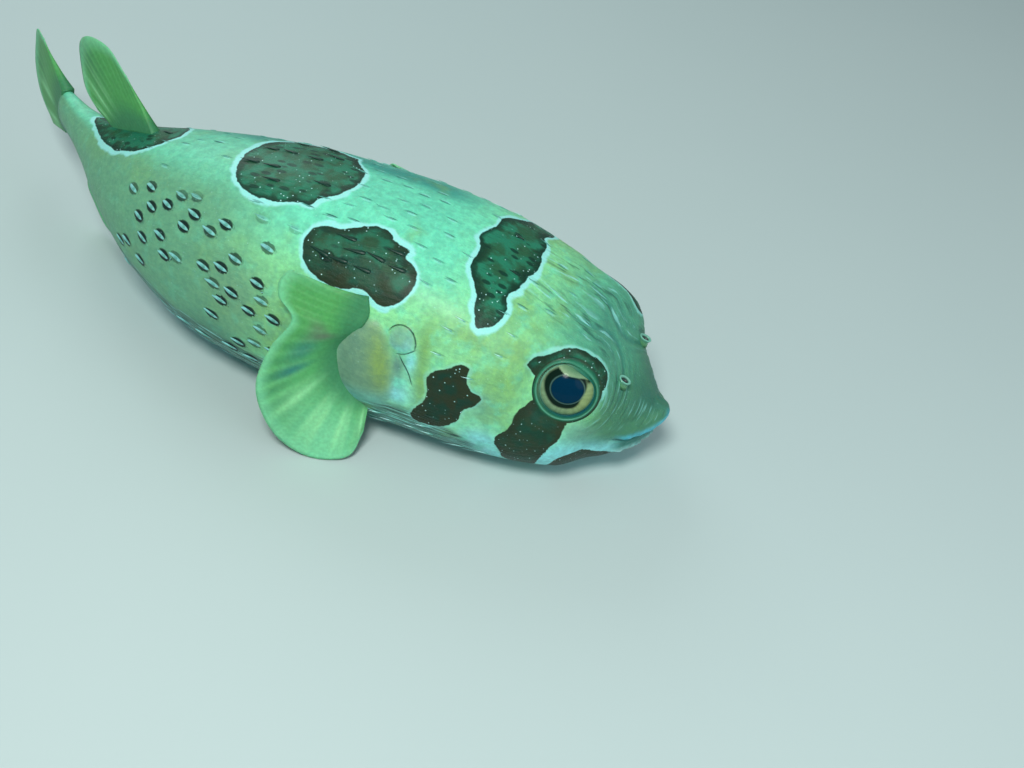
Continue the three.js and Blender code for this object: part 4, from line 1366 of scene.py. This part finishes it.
def make_spines(spines):
    """All spines as one mesh; each lies back along the skin out of its sheath."""
    x, angle = spines.T
    places = spine_frame(x, angle)
    flank = flank_angle(angle)
    rear = rearness(x, flank)
    dark = smoothstep(blotch_depth(places[0], x, angle)[0], -0.5, 0.5)
    lengths = spine_length(x, angle, dark) * draws.uniform(0.88, 1.12, len(spines))
    half_widths = 0.28 + 0.25 * smoothstep(-flank, 15, 40) + (0.25 + 0.6 * smoothstep(x, 105, 130)) * dark
    half_widths = np.maximum(half_widths, 0.85 * rear)
    half_heights = 0.28 + 0.22 * rear + 0.2 * dark
    shares = np.maximum([along for along, _ in SPINE_STATIONS], 0)
    tinted = smoothstep(shares, 0.1, 0.5)[:, None]
    root_shades, tip_shades = spine_shades(flank, x, rear, dark)
    points, faces, colours = [], [], []
    for i, place in enumerate(zip(*places)):
        first = i * len(SPINE_STATIONS) * SPINE_SIDES
        last = first + (len(SPINE_STATIONS) - 1) * SPINE_SIDES
        points.append(spine_rings(place, lengths[i], half_widths[i], half_heights[i], rear[i]))
        colours.append(np.repeat(root_shades[i] * (1 - tinted) + tip_shades[i] * tinted, SPINE_SIDES, 0))
        faces += (grid_faces(len(SPINE_STATIONS), SPINE_SIDES, True) + first).tolist()
        faces += [tuple(range(first, first + SPINE_SIDES))[::-1], tuple(range(last, last + SPINE_SIDES))]
    material = painted_material("porcupinefish_spine", 0.8, 0.05, Roughness=0.4, Specular_IOR_Level=0.3)
    thing = add_painted("fish_spines", np.concatenate(points), faces, np.concatenate(colours), material)
    spine_uv(thing, spines, shares)
    return thing


def spine_uv(thing, spines, shares, size=0.003):
    """Each spine is a small patch of the map, at its root's place on the skin's own unwrap."""
    turns = np.arange(SPINE_SIDES) / SPINE_SIDES
    patch = np.column_stack([np.repeat(shares, SPINE_SIDES), np.tile(turns, len(shares))])
    unwrap = np.column_stack([spines[:, 0] / STALK_END, (spines[:, 1] + 90) % 360 / 360])
    at = 0.01 + 0.97 * np.repeat(unwrap, len(patch), 0) + size * np.tile(patch, (len(spines), 1))
    layer = thing.data.uv_layers.new(name="OFBake")
    corner = np.zeros(len(thing.data.loops), np.int32)
    thing.data.loops.foreach_get("vertex_index", corner)
    layer.uv.foreach_set("vector", at[corner].astype(np.float32).ravel())


# ---------------------------------------------------------------- the eyes


def dark_ring(ahead, up, bearing):
    """How dark the iris is round the pupil: the dark ring is widest behind it and above."""
    limit = 9.9 - 1.9 * facing(bearing, -8, 38) + 0.7 * hill(bearing, 180, 50) + 0.9 * hill(bearing, 138, 36)
    limit += 0.15 * np.sin(np.radians(bearing * 5))
    return falling(np.hypot(ahead, up - PUPIL["lift"]), limit - 0.8, limit + 0.7)


def with_brim(colours, ahead, up):
    """The eye's colours with the upper lid's brim over them, its painted shadow and painted shade in the
    front corner.
    """
    over = up - np.interp(ahead, *zip(*BRIM))
    greened = 0.3 * smoothstep(ahead, -4, 4) + 0.45 * smoothstep(over, 0.3, 3.2)
    brim = blend(np.tile(IRIS_CREAM, (len(up), 1)), LID_GREEN, greened)
    colours = blend(colours, brim, smoothstep(over, -0.2, 0.35) * smoothstep(ahead, -9.5, -6.5))
    shadow = hill(over, -0.45, 0.35) * smoothstep(ahead, -4, -1) * falling(ahead, 9, 11)
    colours = blend(colours, IRIS_DARK_AND_SHADE, 0.75 * shadow)
    # painted shade in the eye's front corner, under the brim
    return blend(colours, IRIS_DARK_AND_SHADE, hill(ahead, 9.4, 1.4) * hill(up, 6.0, 0.9))


def iris_colours(radius, bearing):
    """The eye's colours by distance from its axis and bearing round it, 90 upwards, 0 to the snout."""
    ahead = radius * np.cos(np.radians(bearing))
    up = radius * np.sin(np.radians(bearing))
    colours = blend(np.tile(IRIS_CREAM, (len(radius), 1)), IRIS_GOLD, facing(bearing, -25, 60))
    streak = 0.5 + 0.5 * np.sin(np.radians(bearing * 23) + 1.7 * np.sin(np.radians(bearing * 7)))
    colours = colours * (0.84 + 0.16 * streak)[:, None]
    colours = blend(colours, IRIS_DARK_AND_SHADE, dark_ring(ahead, up, bearing))
    oval = np.hypot(ahead, (up - PUPIL["lift"]) / PUPIL["flatness"])
    colours = blend(colours, PUPIL_LINE, 0.5 * hill(oval, PUPIL["radius"] + 0.5, 0.3))
    colours = blend(colours, PUPIL_BLUE, falling(oval, PUPIL["radius"] - 0.15, PUPIL["radius"] + 0.15))
    colours = with_brim(colours, ahead, up)
    colours = blend(colours, SCLERA, 0.85 * hill(radius, 12.55, 0.28))
    # painted shade at the eyeball's rim, where it goes under the lid
    return blend(colours, TEAL_AND_GROOVE_SHADE, smoothstep(radius, 12.75, 13.1))


def make_eye(name, side, material):
    """A glossy flattened ball, painted as iris and pupil."""
    polar = np.radians(np.concatenate([np.linspace(0.6, 72, 84), np.linspace(76, 176, 16)]))
    bearing = np.arange(EYE_SEGMENTS) * 360 / EYE_SEGMENTS
    polar_grid, bearing_grid = np.meshgrid(polar, bearing, indexing="ij")
    radii = np.append(EYE_RADIUS * np.sin(polar_grid), (0, 0))
    heights = np.append(EYE_DEPTH * np.cos(polar_grid), (EYE_DEPTH, -EYE_DEPTH))
    bearings = np.append(bearing_grid, (0, 0))
    colours = iris_colours(radii, bearings)
    colours[-1] = TEAL_AND_GROOVE_SHADE
    front, rear = bearing_grid.size, bearing_grid.size + 1
    last = (len(polar) - 1) * EYE_SEGMENTS
    following = np.roll(np.arange(EYE_SEGMENTS), -1).tolist()
    faces = grid_faces(len(polar), EYE_SEGMENTS, True).tolist()
    faces += [(front, after, k) for k, after in enumerate(following)]
    faces += [(rear, last + k, last + after) for k, after in enumerate(following)]
    eye = add_painted("fish_" + name, eye_ring(side, radii, bearings, heights), faces, colours, material)
    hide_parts(name)
    return eye


# ---------------------------------------------------------------- the nostrils


def make_nostril(name, side, material):
    """A short fleshy tube, flared at its open end, with painted shade down inside it."""
    at, _, out = skin_frame(np.array(float(NOSTRIL["x"])), np.array(float(NOSTRIL["angle"])))
    upright = unit(0.35 * out + (0, 0, 0.65))
    beside = unit(np.cross(upright, (1, 0, 0)))
    along = np.cross(beside, upright)
    count = NOSTRIL["segments"]
    turns = np.arange(count) * 2 * math.pi / count
    wave = 1 + 0.05 * np.sin(turns * 2 + 1)
    points, colours = [], []
    for i, (radius, height) in enumerate(NOSTRIL_OUTLINE):
        ring = np.outer(np.cos(turns) * radius * NOSTRIL["along"] * wave, along)
        ring += np.outer(np.sin(turns) * radius * NOSTRIL["beside"] * wave, beside)
        points.append(at + upright * height + ring)
        colour = blend(SNOUT_OLIVE, SCLERA, smoothstep(height, 0.2, 3.4))
        # painted shade: the rings down inside the tube darken to black
        colours.append(np.tile(blend(colour, BLACK, smoothstep(i, 7.5, 9.5)), (count, 1)))
    points = np.concatenate(points) * (1, -side, 1)
    last = len(points) - count
    faces = grid_faces(len(NOSTRIL_OUTLINE), count, True).tolist()
    faces += [tuple(range(count))[::-1], tuple(range(last, last + count))]
    tube = add_painted("fish_" + name, points, faces, np.concatenate(colours), material)
    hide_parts(name)
    return tube


# ---------------------------------------------------------------- the fins


def fin_colours(u, v, ray_place, patches):
    """A fin's colours by the place round its fan, the place out along it, and the rays."""
    colours = np.tile(FIN_GREEN, (len(u), 1))
    for colour, at_u, at_v, reach_u, reach_v, strength in patches:
        colours = blend(colours, colour, strength * hill(u, at_u, reach_u) * hill(v, at_v, reach_v))
    fan = np.cos(math.pi * ray_place) ** 2
    low = smoothstep(u, 0.5, 0.62)
    streak = (0.5 + 0.5 * np.sin(ray_place * 2.3 + 1.2)) ** 1.5
    colours = blend(colours, RAY_PALE, 0.85 * low * streak * (0.5 + 0.5 * fan) * hill(v, 0.55, 0.3))
    fine = hill(u, 0.52, 0.12) * smoothstep(v, 0.45, 0.8)
    colours = blend(colours, FIN_ROOT, 0.55 * fine * (1 - fan))
    colours = blend(colours, RAY_PALE, 0.1 * fan**3 * smoothstep(v, 0.2, 0.6))
    colours = blend(colours, FIN_ROOT, 0.8 * falling(v, 0.12, 0.42))
    colours = blend(colours, FIN_LOW, 0.7 * smoothstep(v, 0.8, 1))
    return colours


def fan_surface(shape, side):
    """A fan's places from root to margin, its softly rippled middle surface and the way across it."""
    u = np.linspace(0, 1, shape["rays"] * RAY_COLUMNS + 1)
    mirror = (1, -side, 1)
    root = curve_through(shape["root"], u) * mirror
    root[:, 1] -= np.sign(root[:, 1]) * shape["sunk"] * smoothstep(u, 0.2, 0.5)
    margin = curve_through(shape["margin"], u) * mirror
    u, v = np.meshgrid(u, np.linspace(0, 1, FIN_ROWS), indexing="ij")
    middle = root[:, None] + (margin - root)[:, None] * v[..., None]
    middle[..., 1] += shape["camber"] * -side * np.sin(math.pi * v) * np.sin(math.pi * u)
    normal = unit(np.cross(np.gradient(middle, axis=0), np.gradient(middle, axis=1)))
    ripple = 0.7 * np.sin(u * shape["rays"] * 0.9 + 2.2 * v) * smoothstep(v, 0.35, 1)
    return u, v, middle + normal * ripple[..., None], normal


def fan_faces(columns):
    """The faces of a fan's two sides and of the rim that joins them."""
    front = grid_faces(columns, FIN_ROWS, False)
    index = np.arange(columns * FIN_ROWS).reshape(columns, FIN_ROWS)
    rim = np.concatenate([index[:, 0], index[-1, 1:], index[-2::-1, -1], index[0, -2:0:-1]])
    following = np.roll(rim, -1)
    joined = np.column_stack([rim, following, following + index.size, rim + index.size])
    return np.concatenate([front, front[:, ::-1] + index.size, joined]).tolist()


def make_fin(name, shape, side, material, patches):
    """A fan of rays between a fin's root and its margin, with a thin membrane between them."""
    u, v, middle, normal = fan_surface(shape, side)
    ray_place = u * shape["rays"]
    ray = (np.cos(math.pi * ray_place) ** 2) ** 3
    flesh = (1 - v) ** 2.2
    thick = MEMBRANE + 0.5 * (1 - v) + ray * (0.12 - 0.06 * v) + shape["thick"] * flesh
    sides = [middle + normal * (half / 2)[..., None] for half in (thick, -thick)]
    colours = fin_colours(u.ravel(), v.ravel(), ray_place.ravel(), patches)
    points = np.concatenate(sides).reshape(-1, 3)
    faces = fan_faces(len(u))
    fin = add_painted("fish_" + name, points, faces, np.concatenate([colours, colours]), material)
    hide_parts(name)
    return fin


def make_fins():
    gloss = {"Roughness": 0.5, "Specular_IOR_Level": 0.2, "Subsurface_Weight": 0.2, "Subsurface_Scale": 0.003}
    material = painted_material("porcupinefish_fin", 1.6, 0.05, **gloss)
    make_fin("pectoral_fin_right", SIDE_FIN, -1, material, FIN_PATCHES)
    make_fin("pectoral_fin_left", SIDE_FIN, 1, material, FIN_PATCHES)
    make_fin("dorsal_fin", BACK_FIN, -1, material, ())
    make_fin("anal_fin", VENT_FIN, -1, material, ())
    make_fin("caudal_fin", TAIL_FIN, -1, material, ())


# ---------------------------------------------------------------- stage, lights and camera


def make_camera():
    a, e, r = (math.radians(CAMERA[k]) for k in ("azimuth", "elevation", "roll"))
    back = np.array((math.sin(a) * math.cos(e), -math.cos(a) * math.cos(e), math.sin(e)))
    right = np.array((math.cos(a), math.sin(a), 0))
    up = np.cross(back, right)
    turned_right = math.cos(r) * right + math.sin(r) * up
    turned_up = -math.sin(r) * right + math.cos(r) * up
    data = bpy.data.cameras.new("camera")
    data.sensor_width = 36
    data.lens = 18 / math.tan(math.radians(CAMERA["view"] / 2))
    camera = bpy.data.objects.new("camera", data)
    rotation = Matrix(np.column_stack([turned_right, turned_up, back]).tolist()).to_4x4()
    camera.matrix_world = Matrix.Translation(CAMERA["place"]) @ rotation
    bpy.context.scene.collection.objects.link(camera)
    bpy.context.scene.camera = camera


def add_light(name, place, aim, size, watts, colour):
    data = bpy.data.lights.new(name, "AREA")
    data.shape = "DISK"
    data.size = size
    data.energy = watts
    data.color = colour
    lamp = bpy.data.objects.new(name, data)
    away = np.array(place, float) - np.array(aim, float)
    back = unit(away)
    right = unit(np.cross((0.0, 0.0, 1.0), back) + (1e-6, 0, 0))
    rotation = Matrix(np.column_stack([right, np.cross(back, right), back]).tolist()).to_4x4()
    lamp.matrix_world = Matrix.Translation(place) @ rotation
    bpy.context.scene.collection.objects.link(lamp)


def make_stage():
    """A plain pale floor under soft light."""
    half, z = FLOOR["half"], -FLOOR["below"]
    mesh = bpy.data.meshes.new("floor")
    corners = [(-half, -half, z), (half, -half, z), (half, half, z), (-half, half, z)]
    mesh.from_pydata(corners, [], [(0, 1, 2, 3)])
    s = Shader("floor", Roughness=0.7)
    mottle = s.noise(s.node("TexCoord").outputs["Object"], 0.5, 3)
    mesh.materials.append(s.finish(Base_Color=s.mix(mottle, FLOOR_GREY, FLOOR_PALE)))
    floor = bpy.data.objects.new("floor", mesh)
    bpy.context.scene.collection.objects.link(floor)

    world = bpy.data.worlds.new("studio")
    world.use_nodes = True
    background = world.node_tree.nodes["Background"]
    background.inputs["Color"].default_value = SKY["colour"]
    background.inputs["Strength"].default_value = SKY["strength"]
    bpy.context.scene.world = world
    for light in LIGHTS:
        add_light(*light)
    bpy.context.scene.view_settings.view_transform = "Standard"


# ---------------------------------------------------------------- the whole

make_camera()
make_stage()
SPINES = spine_places()
make_skin(SPINES)
make_spines(SPINES)
EYE_MATERIAL = painted_material("porcupinefish_eye", 0.6, 0.002, Roughness=0.12, Specular_IOR_Level=0.06)
NOSTRIL_MATERIAL = painted_material("porcupinefish_nostril", 0.8, 0.08, Roughness=0.4, Coat_Weight=0.2)
for side_name, side_sign in (("right", -1), ("left", 1)):
    make_eye("eye_" + side_name, side_sign, EYE_MATERIAL)
    make_nostril("nostril_" + side_name, side_sign, NOSTRIL_MATERIAL)
make_fins()
